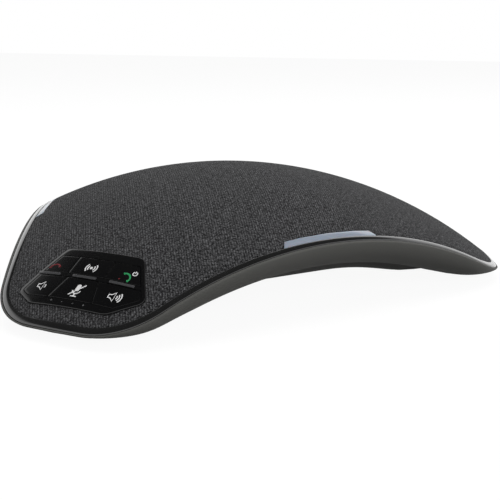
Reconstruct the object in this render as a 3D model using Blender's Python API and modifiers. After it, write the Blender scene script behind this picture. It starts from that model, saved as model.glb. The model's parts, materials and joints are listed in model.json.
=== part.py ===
"""Three-armed conference speakerphone, modelled as separate parts.

Metres, +Z up. The control arm points along -Y and the other two arms to 30 and 150 degrees.
The origin lies on the table, under the middle of the object's box. Pieces are laid out round
the centre of the three arms, and one parent empty carries that centre to its place.
"""
import math

import bmesh
import bpy
import numpy as np
from mathutils import Matrix, Vector

# Outer form, seen from above: straight sides, slightly bowed arm ends, round corners
HEIGHT = 0.054
TIP_EDGE = 0.00806
ARM_REACH = 0.133
SIDE_REACH = 0.0916
END_RADIUS = 0.171
CORNER_RADIUS = 0.0325
ARM_ANGLES = {"front": -90, "right": 30, "left": 150}
SIDE_ANGLES = {"right": -30, "rear": 90, "left": 210}
CORNER_STEPS = 5
END_STEPS = 2
SIDE_STEPS = 8

# The dome is part of a sphere that passes its crown and the tips of the arms
DOME_DROP = HEIGHT - TIP_EDGE
DOME_RADIUS = (DOME_DROP ** 2 + ARM_REACH ** 2) / (2 * DOME_DROP)

# Clearance between neighbours, and the skins of the dome
GAP = 0.0003
FABRIC = 0.0007
GRILLE = 0.0020
CELL = 0.014
TRIM_WIDTH = 0.0022
TRIM_THICKNESS = 0.0010
TRIM_CROWN = 0.0002
RIM_LIP = 0.00065
SHELF_WIDTH = 0.0024

# Lower housing: arched sides, a keel down each arm, and a flat belly
TIP_HEIGHT = 0.0028
BELLY_HEIGHT = 0.0095
ARCH_DROP = 0.0257
ARCH_SETBACK = 0.0281
ARCH_POWER = 2.5
ARCH_BLEND = 0.0054
SIDE_INSET = 0.018
TIP_INSET = 0.0080
SHOULDER_BULGE = 0.0010
SHOULDER_DROP = 0.05
FLOOR = 0.0024
FLOOR_SETBACK = 0.0030
BELLY_REACH = 0.0576
KEEL_START_SETBACK = 0.0713
KEEL_END_SETBACK = 0.0386
BELLY_SCALE = 0.47
FLOOR_STEPS = 5
WALL_STEPS = 4
INNER_DROP = 0.25

# Feet and service cover
FOOT_SETBACK = 0.023
FOOT_REACH = ARM_REACH - FOOT_SETBACK
FOOT_LENGTH = 0.016
FOOT_WIDTH = 0.010
FOOT_POCKET = 0.0013
COVER_SCALE = 0.40
COVER_THICKNESS = 0.0012
BATTERY = (0.060, 0.034, 0.0075)
BATTERY_CENTRE_Y = 0.0145
PAD_THICKNESS = 0.0015

# Screws, bosses and board pins
SCREW_SHANK = 0.0011
SCREW_BORE = SCREW_SHANK + GAP
SCREW_HEAD = 0.0025
SCREW_HEAD_HEIGHT = 0.0016
BOSS_RADIUS = 0.0038
GRILLE_BOSS = 0.0028
BOSS_SETBACK = 0.053
BOSS_SPREAD = 0.0265
POST_RADIUS = 0.00085
PIN_RADIUS = 0.0006
PIN_STAND = 0.0004

# Light strips in the rim
STRIP_HALF = 0.0242
STRIP_SLANT = 0.0020
STRIP_WIDTH = 0.0035
STRIP_DEPTH = 0.0030
LIGHT_BOARD = (0.046, 0.0060, 0.0010)
LED_SIZE = (0.0030, 0.0010, 0.0008)
LED_SPACING = 0.015

# Control panel, laid out in the plane that touches the dome at PANEL_REACH
PANEL_SETBACK = 0.019
PANEL_REACH = ARM_REACH - PANEL_SETBACK
PANEL_PROUD = 0.0008
PANEL_THICKNESS = 0.0023
PANEL_BEVEL = 0.0004
PANEL_LEDGE = 0.0016
PANEL_CORNERS = (
    (0.0203, 0.0158, 0.0050),
    (-0.0190, 0.0154, 0.0030),
    (-0.0283, -0.0112, 0.0030),
    (-0.0185, -0.0164, 0.0070),
    (0.0195, -0.0160, 0.0080),
    (0.0328, -0.0060, 0.0040),
)
WEB_HALF = 0.0009
REAR_ROW_DEPTH = 0.0110
FRONT_ROW_DEPTH = 0.0126
KEY_GROOVE = 0.0004
KEY_THICKNESS = 0.0020
REAR_COLUMN = 0.0092
FRONT_COLUMN = 0.0075
FRONT_FLARE = 0.30
KEY_PITCH = 0.0185
STEM_PITCH = 0.0165
KEY_TRAVEL = 0.0005
LIP_LENGTH = 0.011
LIP_REACH = 0.0005
LIP_THICKNESS = 0.0008
STEM_RADIUS = 0.0014
KEY_ROW_Y = {"rear": 0.0052, "front": -0.0066}
BAR_LENGTH = 0.0118
BAR_HEIGHT = 0.0003
LIGHT_ROW_Y = -0.0139
LIGHT_SPACING = 0.0054
LIGHT_RADIUS = 0.0005
BOARD = 0.0012
KEY_BOARD_DEPTH = 0.0066
BOARD_CLEAR = 0.0024
MAT = 0.0006
SWITCH_HEIGHT = 0.0018
STEM_LOW = SWITCH_HEIGHT / 2 + KEY_TRAVEL + 2 * GAP - KEY_BOARD_DEPTH

# Loudspeaker and its box
BOX_HALF = 0.038
BOX_CORNER = 0.012
BOX_WALL = 0.002
BOX_FLOOR = 0.0015
BOX_DROP = 0.013
BOX_TOP = HEIGHT - BOX_DROP
FLANGE_HALF = 0.037
FLANGE_THICKNESS = 0.0017
SPEAKER_SCREW = 0.031
EAR_WIDTH = 0.011
EAR_THICKNESS = 0.0025
EAR_HEIGHT = 0.024
CONE_RADIUS = 0.027
COIL_RADIUS = 0.0109
COIL_WALL = 0.0008
COIL_LENGTH = 0.0082
CONE_WALL = 0.0007
CONE_STAND = 0.0034
CONE_TRAVEL = 0.0015
MAGNET_RADIUS = 0.019
MAGNET_HEIGHT = 0.0064
SUSPENSION = 0.0005

# Microphones: one behind the panel, and one near the tip of each other arm
MIC_SETBACK = 0.021
MIC_BEHIND_PANEL = 0.026
MIC_REACH = {"front": PANEL_REACH - MIC_BEHIND_PANEL, "right": ARM_REACH - MIC_SETBACK,
             "left": ARM_REACH - MIC_SETBACK}
MIC_BOARD = (0.015, 0.009, 0.0010)
MIC_BOOT = 0.0040
MIC_BOOT_HEIGHT = 0.0024

# Main board, in the left arm, between the microphone's board and the loudspeaker's post
MAIN_BOARD = (0.037, 0.042, 0.0016)
MAIN_CLEAR = 0.0003
POST_CLEAR = 0.0031
MAIN_HEIGHT = 0.015
STANDOFF_RADIUS = 0.0028
STANDOFF_EDGE = 0.0045
CAPACITOR = (0.0038, 0.0090)
CAPACITOR_PLACES = ((0.0125, -0.011), (0.0125, -0.002))
CHOKE = (0.006, 0.006, 0.004)
CHOKE_PLACES = ((0.022, -0.014), (0.022, -0.006))
AMPLIFIER = (0.007, 0.007, 0.0012)
AMPLIFIER_PLACE = (0.032, -0.010)
LEAD_SOCKET = (0.004, 0.006, 0.004)
LEAD_SOCKET_EDGE = 0.003
SHIELD = (0.016, 0.016, 0.0030)
SHIELD_WALL = 0.0004
SHIELD_PLACE = (0.025, 0.006)

# Charging socket in the rear wall, under the rim
SOCKET = (0.0090, 0.0125, 0.0032)
SOCKET_DROP = 0.0084
SOCKET_WALL = 0.0004
SOCKET_RECESS = 0.0020
SOCKET_BOARD_INSET = 0.0080
SOCKET_BOARD = (0.024, 0.018, 0.0012)

# Leads: radius, and the points that each passes on its way to the main board
LEAD_RADIUS = 0.0007
KEY_ROUTE = ((-0.0205, -0.078, 0.020), (-0.040, -0.052, 0.025), (-0.047, -0.030, 0.027), (-0.052, -0.005, 0.024))
SPEAKER_ROUTE = ((-0.043, 0.005, 0.0295), (-0.047, 0.012, 0.024))
BATTERY_ROUTE = ((-0.035, 0.025, 0.0179), (-0.040, 0.030, 0.0182), (-0.0465, 0.0355, 0.0183))


def smooth_step(value):
    value = np.clip(value, 0.0, 1.0)
    return value * value * (3 - 2 * value)


def sag(x, y):
    """How far the dome falls away below its crown, or below a plane that touches it."""
    return DOME_RADIUS - np.sqrt(DOME_RADIUS ** 2 - x ** 2 - y ** 2)


def dome_height(x, y):
    """Height of the fabric's surface over the table."""
    return HEIGHT - sag(x, y)


def side_distance(x, y):
    """How far a point lies towards the nearest of the three sides."""
    return np.max([x * math.cos(math.radians(a)) + y * math.sin(math.radians(a))
                   for a in SIDE_ANGLES.values()], axis=0)


def arch_height(reach):
    """Height of the lower edge: an arch between the arms, level at their tips."""
    fall = (HEIGHT - ARCH_DROP - TIP_HEIGHT) * (1 - (reach / (ARM_REACH - ARCH_SETBACK)) ** ARCH_POWER)
    return TIP_HEIGHT + (fall + np.sqrt(fall ** 2 + ARCH_BLEND ** 2)) / 2


def under_height(x, y):
    """Height of the housing's underside: belly, keels along the arms, arched sides."""
    reach = np.hypot(x, y)
    keel = smooth_step((reach - ARM_REACH + KEEL_START_SETBACK) / (KEEL_START_SETBACK - KEEL_END_SETBACK))
    low = BELLY_HEIGHT + keel * (TIP_HEIGHT - BELLY_HEIGHT)
    rise = smooth_step((side_distance(x, y) - BELLY_REACH) / (SIDE_REACH - SIDE_INSET - BELLY_REACH))
    return low + rise * (arch_height(reach) - low)


def outline_frame():
    """Points and outward normals round the edge of the fabric, counterclockwise."""
    inner = SIDE_REACH - CORNER_RADIUS
    back = END_RADIUS - ARM_REACH
    cos60, sin60 = 0.5, math.sqrt(0.75)
    spread = (back * sin60) ** 2 - inner ** 2 - inner * back - back ** 2
    slide = math.sqrt(spread + (END_RADIUS - CORNER_RADIUS) ** 2) - back * sin60
    corner_u = inner * cos60 + slide * sin60
    corner_v = inner * sin60 - slide * cos60
    end_angle = math.atan2(corner_v, corner_u + back)
    side_angle = math.radians(60)
    half_side = slide
    points = []
    normals = []

    def add(arm, u, v, angle):
        turn = Matrix.Rotation(arm, 2)
        points.append(turn @ Vector((u, v)))
        normals.append(turn @ Vector((math.cos(angle), math.sin(angle))))

    for arm in sorted(math.radians(a) for a in ARM_ANGLES.values()):
        for k in range(CORNER_STEPS + 1):
            angle = -side_angle + (side_angle - end_angle) * k / CORNER_STEPS
            add(arm, corner_u + CORNER_RADIUS * math.cos(angle),
                -corner_v + CORNER_RADIUS * math.sin(angle), angle)
        for k in range(1, END_STEPS):
            angle = end_angle * (2 * k / END_STEPS - 1)
            add(arm, END_RADIUS * math.cos(angle) - back, END_RADIUS * math.sin(angle), angle)
        for k in range(CORNER_STEPS + 1):
            angle = end_angle + (side_angle - end_angle) * k / CORNER_STEPS
            add(arm, corner_u + CORNER_RADIUS * math.cos(angle),
                corner_v + CORNER_RADIUS * math.sin(angle), angle)
        for k in range(1, SIDE_STEPS):
            along = half_side * (1 - 2 * k / SIDE_STEPS)
            add(arm, SIDE_REACH * cos60 + along * sin60, SIDE_REACH * sin60 - along * cos60, side_angle)
    return np.array(points), np.array(normals)


EDGE_POINTS, EDGE_NORMALS = outline_frame()
EDGE_REACH = np.hypot(EDGE_POINTS[:, 0], EDGE_POINTS[:, 1])


def ring(offset):
    """The outline, grown outwards by an offset (one number or one for each point)."""
    return EDGE_POINTS + EDGE_NORMALS * np.reshape(offset, (-1, 1))


def lift(plan, height):
    """A plan ring with its heights."""
    return np.column_stack([plan, np.broadcast_to(height, len(plan))])


def on_dome(plan, depth):
    return lift(plan, dome_height(plan[:, 0], plan[:, 1]) - depth)


def over_underside(plan, thickness):
    return lift(plan, under_height(plan[:, 0], plan[:, 1]) + thickness)


# The tip's own inset replaces the side's inset over the last stretch of each arm
EDGE_INSET = SIDE_INSET + (TIP_INSET - SIDE_INSET) * smooth_step(
    (EDGE_REACH - EDGE_REACH.max()) / (0.13 * ARM_REACH) + 1)
HOUSING_OUT = TRIM_WIDTH + GAP + RIM_LIP
SHELF_DEPTH = FABRIC + GAP + GRILLE + GAP
RIM_DEPTH = TRIM_THICKNESS + GAP
RIM = on_dome(ring(HOUSING_OUT), GAP)
LOWER_EDGE = over_underside(ring(-EDGE_INSET), 0)
WALL_HEIGHT = RIM[:, 2] - LOWER_EDGE[:, 2]
BULGE = SHOULDER_BULGE * WALL_HEIGHT / WALL_HEIGHT.max()
SHOULDER = ring(HOUSING_OUT + BULGE)
CENTRE_Y = -(SHOULDER[:, 1].max() + SHOULDER[:, 1].min()) / 2


# ---------------------------------------------------------------- Blender helpers

def clear_scene():
    for obj in list(bpy.data.objects):
        bpy.data.objects.remove(obj, do_unlink=True)


def new_collection(name):
    collection = bpy.data.collections.new(name)
    bpy.context.scene.collection.children.link(collection)
    return collection


clear_scene()
PARTS = new_collection("conference_speakerphone")
CUTTERS = new_collection("cutters")


def new_empty(name, matrix, parent=None):
    empty = bpy.data.objects.new(name, None)
    PARTS.objects.link(empty)
    empty.parent = parent
    empty.matrix_local = matrix
    return empty


CENTRE = new_empty("centre_of_arms", Matrix.Translation((0, CENTRE_Y, 0)))


def dome_matrix(angle, reach):
    """A frame on the dome: X along the rim, Y up the slope, Z out of the surface."""
    turn = Matrix.Rotation(math.radians(angle + 90), 4, "Z")
    tilt = Matrix.Rotation(math.asin(reach / DOME_RADIUS), 4, "X")
    place = Matrix.Translation((0, -reach, float(dome_height(0.0, reach))))
    return turn @ place @ tilt


PANEL = new_empty("panel_plane", dome_matrix(ARM_ANGLES["front"], PANEL_REACH), CENTRE)
ARMS = {name: new_empty("arm_" + name, Matrix.Rotation(math.radians(angle), 4, "Z"), CENTRE)
        for name, angle in ARM_ANGLES.items()}
SIDES = {name: new_empty("side_" + name, Matrix.Rotation(math.radians(angle - 90), 4, "Z"), CENTRE)
         for name, angle in SIDE_ANGLES.items()}


def material(name, colour, roughness, metallic=0.0):
    mat = bpy.data.materials.get(name)
    if mat is None:
        mat = bpy.data.materials.new(name)
        mat.use_nodes = True
        shader = mat.node_tree.nodes["Principled BSDF"]
        shader.inputs["Base Color"].default_value = (*colour, 1.0)
        shader.inputs["Roughness"].default_value = roughness
        shader.inputs["Metallic"].default_value = metallic
    return mat


def charcoal_knit():
    return material("charcoal_knit", (0.045, 0.045, 0.050), 0.95)


def gloss_black():
    return material("gloss_black", (0.010, 0.010, 0.011), 0.12)


def satin_black():
    return material("satin_black", (0.012, 0.012, 0.014), 0.30)


def matte_grey():
    return material("matte_grey", (0.070, 0.070, 0.066), 0.55)


def black_rubber():
    return material("black_rubber", (0.020, 0.020, 0.020), 0.85)


def milky_light():
    return material("milky_light", (0.38, 0.43, 0.50), 0.35)


def circuit_green():
    return material("circuit_green", (0.02, 0.12, 0.05), 0.45)


def zinc_steel():
    return material("zinc_steel", (0.55, 0.55, 0.56), 0.35, 1.0)


def bright_nickel():
    return material("bright_nickel", (0.62, 0.60, 0.57), 0.25, 1.0)


def black_plastic():
    return material("black_plastic", (0.025, 0.025, 0.027), 0.50)


def paper_cone():
    return material("paper_cone", (0.035, 0.033, 0.030), 0.80)


def battery_wrap():
    return material("battery_wrap", (0.05, 0.11, 0.24), 0.40)


def lead_sleeve():
    return material("lead_sleeve", (0.30, 0.03, 0.02), 0.55)


def place(name, bm, mat, parent=CENTRE, collection=None):
    """Turn a bmesh into a named object under a parent; a cutter is a wire guide."""
    mesh = bpy.data.meshes.new(name)
    bm.to_mesh(mesh)
    bm.free()
    obj = bpy.data.objects.new(name, mesh)
    obj.parent = parent
    if mat is None:
        CUTTERS.objects.link(obj)
        obj.hide_render = True
        obj.display_type = "WIRE"
    else:
        PARTS.objects.link(obj)
        mesh.materials.append(mat)
    mesh.shade_smooth()
    mesh.set_sharp_from_angle(angle=math.radians(35))
    return obj


def boolean(obj, other, operation):
    modifier = obj.modifiers.new(operation.lower() + "_" + other.name, "BOOLEAN")
    modifier.operation = operation
    modifier.solver = "EXACT"
    modifier.object = other


def cut(obj, *cutters):
    for cutter in cutters:
        boolean(obj, cutter, "DIFFERENCE")


def join(obj, *pieces):
    for piece in pieces:
        boolean(obj, piece, "UNION")


def prism(points, low, high):
    """A flat outline between two heights, from a filled and extruded curve."""
    curve = bpy.data.curves.new("outline", "CURVE")
    curve.dimensions = "2D"
    curve.fill_mode = "BOTH"
    curve.extrude = (high - low) / 2
    spline = curve.splines.new("POLY")
    spline.points.add(len(points) - 1)
    for point, (x, y) in zip(spline.points, points):
        point.co = (x, y, 0, 1)
    spline.use_cyclic_u = True
    guide = bpy.data.objects.new("outline", curve)
    CUTTERS.objects.link(guide)
    mesh = bpy.data.meshes.new_from_object(guide.evaluated_get(bpy.context.evaluated_depsgraph_get()))
    bpy.data.objects.remove(guide)
    bpy.data.curves.remove(curve)
    bm = bmesh.new()
    bm.from_mesh(mesh)
    bpy.data.meshes.remove(mesh)
    bmesh.ops.remove_doubles(bm, verts=bm.verts, dist=1e-6)
    bmesh.ops.translate(bm, verts=bm.verts, vec=(0, 0, (low + high) / 2))
    bmesh.ops.recalc_face_normals(bm, faces=bm.faces)
    return bm


def domed(points, low, high, crown=HEIGHT):
    """A convex plate cut into cells and laid over the dome; low and high are measured from it."""
    bm = bmesh.new()
    bm.faces.new([bm.verts.new((x, y, 0)) for x, y in points])
    extent = max(np.abs(points).max(), CELL)
    for axis in ((1, 0, 0), (0, 1, 0)):
        for k in range(-int(extent / CELL) - 1, int(extent / CELL) + 2):
            bmesh.ops.bisect_plane(bm, geom=bm.verts[:] + bm.edges[:] + bm.faces[:], dist=1e-6,
                                   plane_co=Vector(axis) * k * CELL, plane_no=axis)
    bmesh.ops.triangulate(bm, faces=bm.faces)
    for vert in bm.verts:
        vert.co.z = crown + low - sag(vert.co.x, vert.co.y)
    skin = bmesh.ops.extrude_face_region(bm, geom=bm.faces[:])["geom"]
    raised = [item for item in skin if isinstance(item, bmesh.types.BMVert)]
    bmesh.ops.translate(bm, verts=raised, vec=(0, 0, high - low))
    bmesh.ops.recalc_face_normals(bm, faces=bm.faces)
    return bm


def box(size, centre=(0, 0, 0)):
    bm = bmesh.new()
    bmesh.ops.create_cube(bm, size=1)
    bmesh.ops.scale(bm, verts=bm.verts, vec=size)
    bmesh.ops.translate(bm, verts=bm.verts, vec=centre)
    return bm


def cylinder(bm, x, y, radius, low, high, segments=16):
    bmesh.ops.create_cone(bm, cap_ends=True, segments=segments, radius1=radius, radius2=radius,
                          depth=high - low, matrix=Matrix.Translation((x, y, (low + high) / 2)))


def cylinders(places, radius, low, high, segments=16):
    bm = bmesh.new()
    for x, y in places:
        cylinder(bm, x, y, radius, low, high, segments)
    return bm


def add_mesh(bm, other, matrix=Matrix.Identity(4)):
    """Put another bmesh's shape into this one, as a body of its own."""
    bmesh.ops.transform(other, matrix=matrix, verts=other.verts)
    mesh = bpy.data.meshes.new("scratch")
    other.to_mesh(mesh)
    other.free()
    bm.from_mesh(mesh)
    bpy.data.meshes.remove(mesh)


def loft(rings, closed):
    """Rings of equal count joined by quads; the ends are capped, or joined to each other."""
    bm = bmesh.new()
    rows = [[bm.verts.new(point) for point in row] for row in rings]
    count = len(rows[0])
    pairs = list(zip(rows, rows[1:]))
    if closed:
        pairs.append((rows[-1], rows[0]))
    for first, second in pairs:
        for k in range(count):
            after = (k + 1) % count
            bm.faces.new((first[k], first[after], second[after], second[k]))
    if not closed:
        bm.faces.new(rows[0][::-1])
        bm.faces.new(rows[-1])
    bmesh.ops.recalc_face_normals(bm, faces=bm.faces)
    return bm


def turned(name, profile, mat, closed=True, steps=32, parent=CENTRE):
    """A profile of radius and height, running down its outer side, turned round Z."""
    mesh = bpy.data.meshes.new(name)
    count = len(profile)
    edges = [(k, k + 1) for k in range(count - 1)]
    if closed:
        edges.append((count - 1, 0))
    mesh.from_pydata([(r, 0, z) for r, z in profile], edges, [])
    obj = bpy.data.objects.new(name, mesh)
    obj.parent = parent
    if mat is None:
        CUTTERS.objects.link(obj)
        obj.hide_render = True
        obj.display_type = "WIRE"
    else:
        PARTS.objects.link(obj)
        mesh.materials.append(mat)
    screw = obj.modifiers.new("turn", "SCREW")
    screw.steps = steps
    screw.render_steps = steps
    screw.use_merge_vertices = True
    screw.merge_threshold = 1e-6
    screw.use_smooth_shade = True
    return obj


def rounded(corners, steps=3):
    """A counterclockwise polygon from corners given as x, y and corner radius."""
    points = []
    for k, (x, y, radius) in enumerate(corners):
        here = Vector((x, y))
        before = (Vector(corners[k - 1][:2]) - here).normalized()
        after = (Vector(corners[(k + 1) % len(corners)][:2]) - here).normalized()
        half = before.angle(after) / 2
        centre = here + (before + after).normalized() * radius / math.sin(half)
        start = here + before * radius / math.tan(half) - centre
        for step in range(steps + 1):
            turn = Matrix.Rotation((math.pi - 2 * half) * step / steps, 2)
            points.append(tuple(centre + turn @ start))
    return np.array(points)


def rectangle(half_x, half_y, radius, x=0.0, y=0.0, steps=3):
    return rounded([(x + half_x, y - half_y, radius), (x + half_x, y + half_y, radius),
                    (x - half_x, y + half_y, radius), (x - half_x, y - half_y, radius)], steps)


def shrink(corners, inset):
    """Move each side of a convex, counterclockwise polygon of rounded corners inwards."""
    result = []
    for k, (x, y, radius) in enumerate(corners):
        here = Vector((x, y))
        before = (Vector(corners[k - 1][:2]) - here).normalized()
        after = (Vector(corners[(k + 1) % len(corners)][:2]) - here).normalized()
        half = before.angle(after) / 2
        moved = here + (before + after).normalized() * inset / math.sin(half)
        result.append((moved.x, moved.y, max(radius - inset, 0.0002)))
    return result


def clip(points, normal, limit):
    """The part of a convex polygon where the dot product with a normal stays under a limit."""
    result = []
    values = points @ np.array(normal) - limit
    for k in range(len(points)):
        here, after = points[k], points[(k + 1) % len(points)]
        if values[k] <= 0:
            result.append(here)
        if (values[k] < 0) != (values[(k + 1) % len(points)] < 0) and values[k] != 0:
            share = values[k] / (values[k] - values[(k + 1) % len(points)])
            result.append(here + (after - here) * share)
    return np.array(result)


# ---------------------------------------------------------------- places that pieces share

def arm_places(reach, spread=0.0):
    """The same place in each of the three arms, round the centre."""
    return [tuple(Matrix.Rotation(math.radians(angle), 2) @ Vector((reach, spread)))
            for angle in ARM_ANGLES.values()]


def floor_top(x, y):
    return float(under_height(x, y)) + FLOOR


def in_floor(x, y):
    """A height inside the housing's floor, where a boss takes root."""
    return float(under_height(x, y)) + FLOOR / 2


HOUSING_BOSSES = arm_places(ARM_REACH - BOSS_SETBACK, BOSS_SPREAD)
BOSS_SPLIT = 0.5
MIC_BOARD_DEPTH = GRILLE + FABRIC + 2 * GAP + MIC_BOOT_HEIGHT + GAP
MIC_HANG = MIC_BOARD_DEPTH + MIC_BOARD[2] + PIN_STAND
MIC_TILT = math.asin(MIC_REACH["left"] / DOME_RADIUS)
MAIN_OUTER = (MIC_REACH["left"] - MIC_HANG * math.sin(MIC_TILT) - MIC_BOARD[1] / 2 * math.cos(MIC_TILT)
              - MAIN_CLEAR)
MAIN_INNER = MAIN_OUTER - MAIN_BOARD[0]
MAIN_REACH = (MAIN_OUTER + MAIN_INNER) / 2
BOX_POST_REACH = MAIN_INNER - POST_CLEAR - BOSS_RADIUS
BOARD_HALF = (MAIN_BOARD[0] / 2, MAIN_BOARD[1] / 2)
STANDOFFS = [(MAIN_REACH + sx * (BOARD_HALF[0] - STANDOFF_EDGE), sy * (BOARD_HALF[1] - STANDOFF_EDGE))
             for sx in (1, -1) for sy in (1, -1)]
BOARD_SCREWS = STANDOFFS[1:3]
COVER_TOP = BELLY_HEIGHT + COVER_THICKNESS
LEDGE_HEIGHT = COVER_TOP + GAP
COVER_SCREW_REACH = 0.92 * COVER_SCALE * ARM_REACH - SCREW_HEAD
COVER_SCREWS = arm_places(COVER_SCREW_REACH)
BATTERY_LOW = COVER_TOP + GAP
BATTERY_TOP = BATTERY_LOW + BATTERY[2]
BOX_LOW = BATTERY_TOP + GAP + PAD_THICKNESS + GAP
BOX_POSTS = arm_places(BOX_POST_REACH)
LIGHT_FRAME_REACH = SIDE_REACH - SHELF_WIDTH - GAP - LIGHT_BOARD[1] / 2
LIGHT_BOARD_DEPTH = SHELF_DEPTH + LED_SIZE[2] + GAP
LIGHT_PINS = [(-0.42 * LIGHT_BOARD[0], 0.0005), (0.42 * LIGHT_BOARD[0], 0.0005)]
MIC_PINS = [(-0.40 * MIC_BOARD[0], 0.0), (0.40 * MIC_BOARD[0], 0.0)]
KEY_PINS = [(side * REAR_COLUMN, y) for side in (1, -1) for y in (0.0, REAR_ROW_DEPTH + POST_RADIUS + GAP)]


def stake(bm, x, y, board_depth, board, root):
    """A post with a shoulder over the board and a thin pin through it, hanging from above."""
    cylinder(bm, x, y, POST_RADIUS, -board_depth + GAP, -root, 10)
    cylinder(bm, x, y, PIN_RADIUS, -board_depth - board - PIN_STAND, -board_depth + 2 * GAP, 8)


def stakes(name, pins, board_depth, board, root, matrix):
    """Stakes as two cutters-to-be: posts and pins overlap, so each set is joined on its own."""
    posts = bmesh.new()
    pins_mesh = bmesh.new()
    for x, y in pins:
        cylinder(posts, x, y, POST_RADIUS, -board_depth + GAP, -root, 10)
        cylinder(pins_mesh, x, y, PIN_RADIUS, -board_depth - board - PIN_STAND, -board_depth + 3 * GAP, 8)
    both = []
    for suffix, bm in (("_posts", posts), ("_pins", pins_mesh)):
        obj = place(name + suffix, bm, None)
        obj.matrix_local = matrix
        both.append(obj)
    return both


# ---------------------------------------------------------------- shells

def lower_housing():
    """Matte base shell: rim rebate, arched wall, keels and belly."""
    shares = [BELLY_SCALE + (1 - BELLY_SCALE) * k / FLOOR_STEPS for k in range(FLOOR_STEPS)]
    rings = [over_underside(LOWER_EDGE[:, :2] * share, 0) for share in shares]
    top = RIM[:, 2] - SHOULDER_DROP * WALL_HEIGHT
    run = HOUSING_OUT + BULGE + EDGE_INSET
    for step in range(WALL_STEPS, -1, -1):
        angle = math.pi / 2 * step / WALL_STEPS
        plan = ring(HOUSING_OUT + BULGE - run * (1 - math.cos(angle)))
        rings.append(lift(plan, top - (top - LOWER_EDGE[:, 2]) * math.sin(angle)))
    rings.append(RIM)
    seat = ring(TRIM_WIDTH + GAP)
    rings.append(on_dome(seat, GAP))
    rings.append(on_dome(seat, RIM_DEPTH))
    rings.append(on_dome(ring(0), RIM_DEPTH))
    rings.append(on_dome(ring(0), SHELF_DEPTH))
    shelf = on_dome(ring(-SHELF_WIDTH), SHELF_DEPTH)
    rings.append(shelf)
    inner = over_underside(ring(-EDGE_INSET - FLOOR_SETBACK), FLOOR)
    top = shelf[:, 2] - INNER_DROP * (shelf[:, 2] - inner[:, 2])
    run = EDGE_INSET + FLOOR_SETBACK - SHELF_WIDTH
    for step in range(WALL_STEPS + 1):
        angle = math.pi / 2 * step / WALL_STEPS
        plan = ring(-SHELF_WIDTH - run * (1 - math.cos(angle)))
        rings.append(lift(plan, top - (top - inner[:, 2]) * math.sin(angle)))
    for share in shares[::-1]:
        rings.append(over_underside(inner[:, :2] * share, FLOOR))
    obj = place("lower_housing", loft(rings, closed=False), matte_grey())
    join(obj, housing_bosses(), chamber_posts(), cover_bosses(), board_standoffs(), socket_posts())
    cut(obj, cover_opening(), cover_rebate(), boss_bores(), boss_recesses(), post_bores(),
        standoff_bores(), foot_pockets(), socket_slot())
    return obj


def boss_heights(x, y):
    low = floor_top(x, y)
    high = float(dome_height(x, y)) - SHELF_DEPTH
    return low, low + (high - low) * BOSS_SPLIT


def housing_bosses():
    bm = bmesh.new()
    for x, y in HOUSING_BOSSES:
        cylinder(bm, x, y, BOSS_RADIUS, in_floor(x, y), boss_heights(x, y)[1])
    return place("housing_bosses", bm, None)


def boss_bores():
    bm = bmesh.new()
    for x, y in HOUSING_BOSSES:
        cylinder(bm, x, y, SCREW_BORE, 0, HEIGHT, 12)
    return place("boss_bores", bm, None)


def boss_recesses():
    bm = bmesh.new()
    for x, y in HOUSING_BOSSES:
        cylinder(bm, x, y, SCREW_HEAD + GAP, 0, screw_seat(x, y), 16)
    return place("boss_recesses", bm, None)


def screw_seat(x, y):
    """Height of the step in a boss that the head of a housing screw pulls against."""
    low, split = boss_heights(x, y)
    return low + (split - low) * 0.35


def chamber_posts():
    bm = bmesh.new()
    for x, y in BOX_POSTS:
        cylinder(bm, x, y, BOSS_RADIUS, in_floor(x, y), EAR_HEIGHT - GAP)
    return place("chamber_posts", bm, None)


def post_bores():
    bm = cylinders(BOX_POSTS, SCREW_BORE, BELLY_HEIGHT + FLOOR, HEIGHT, 12)
    add_mesh(bm, cylinders(COVER_SCREWS, SCREW_BORE, 0, LEDGE_HEIGHT + 0.005, 12))
    return place("post_bores", bm, None)


def cover_bosses():
    return place("cover_bosses", cylinders(COVER_SCREWS, BOSS_RADIUS, LEDGE_HEIGHT + GAP / 2,
                                           LEDGE_HEIGHT + 0.006), None)


def cover_outline(inset):
    """The service cover's plan: the body's own outline, at a smaller scale."""
    plan = EDGE_POINTS[::2] * COVER_SCALE
    return plan - EDGE_NORMALS[::2] * inset


def cover_opening():
    """Hole in the floor for the battery, wider than the pack by the clearance."""
    plan = rectangle(BATTERY[0] / 2 + GAP, BATTERY[1] / 2 + GAP, 0.003, y=BATTERY_CENTRE_Y)
    return place("cover_opening", prism(plan, 0, BELLY_HEIGHT + 2 * FLOOR), None)


def cover_rebate():
    return place("cover_rebate", prism(cover_outline(-GAP), 0, LEDGE_HEIGHT), None)


def board_standoffs():
    bm = bmesh.new()
    turn = Matrix.Rotation(math.radians(ARM_ANGLES["left"]), 2)
    for u, v in STANDOFFS:
        x, y = turn @ Vector((u, v))
        cylinder(bm, x, y, STANDOFF_RADIUS, in_floor(x, y), MAIN_HEIGHT - GAP, 14)
    return place("board_standoffs", bm, None)


def standoff_bores():
    obj = place("standoff_bores", cylinders(STANDOFFS, SCREW_BORE, MAIN_HEIGHT - 0.0045, HEIGHT, 12), None,
                ARMS["left"])
    return obj


def foot_outline(grow):
    return rectangle(FOOT_WIDTH / 2 + grow, FOOT_LENGTH / 2 + grow, FOOT_WIDTH / 2.4 + grow, x=FOOT_REACH)


def foot_top():
    return float(under_height(0.0, -FOOT_REACH)) + FOOT_POCKET


def foot_pockets():
    bm = bmesh.new()
    for angle in ARM_ANGLES.values():
        add_mesh(bm, prism(foot_outline(GAP), -0.001, foot_top() + GAP),
                 Matrix.Rotation(math.radians(angle), 4, "Z"))
    return place("foot_pockets", bm, None)


def foot(name):
    """Soft pad under the end of an arm; its flat face rests on the table."""
    return place("foot_" + name, prism(foot_outline(0), 0, foot_top()), black_rubber(), ARMS[name])


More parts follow.
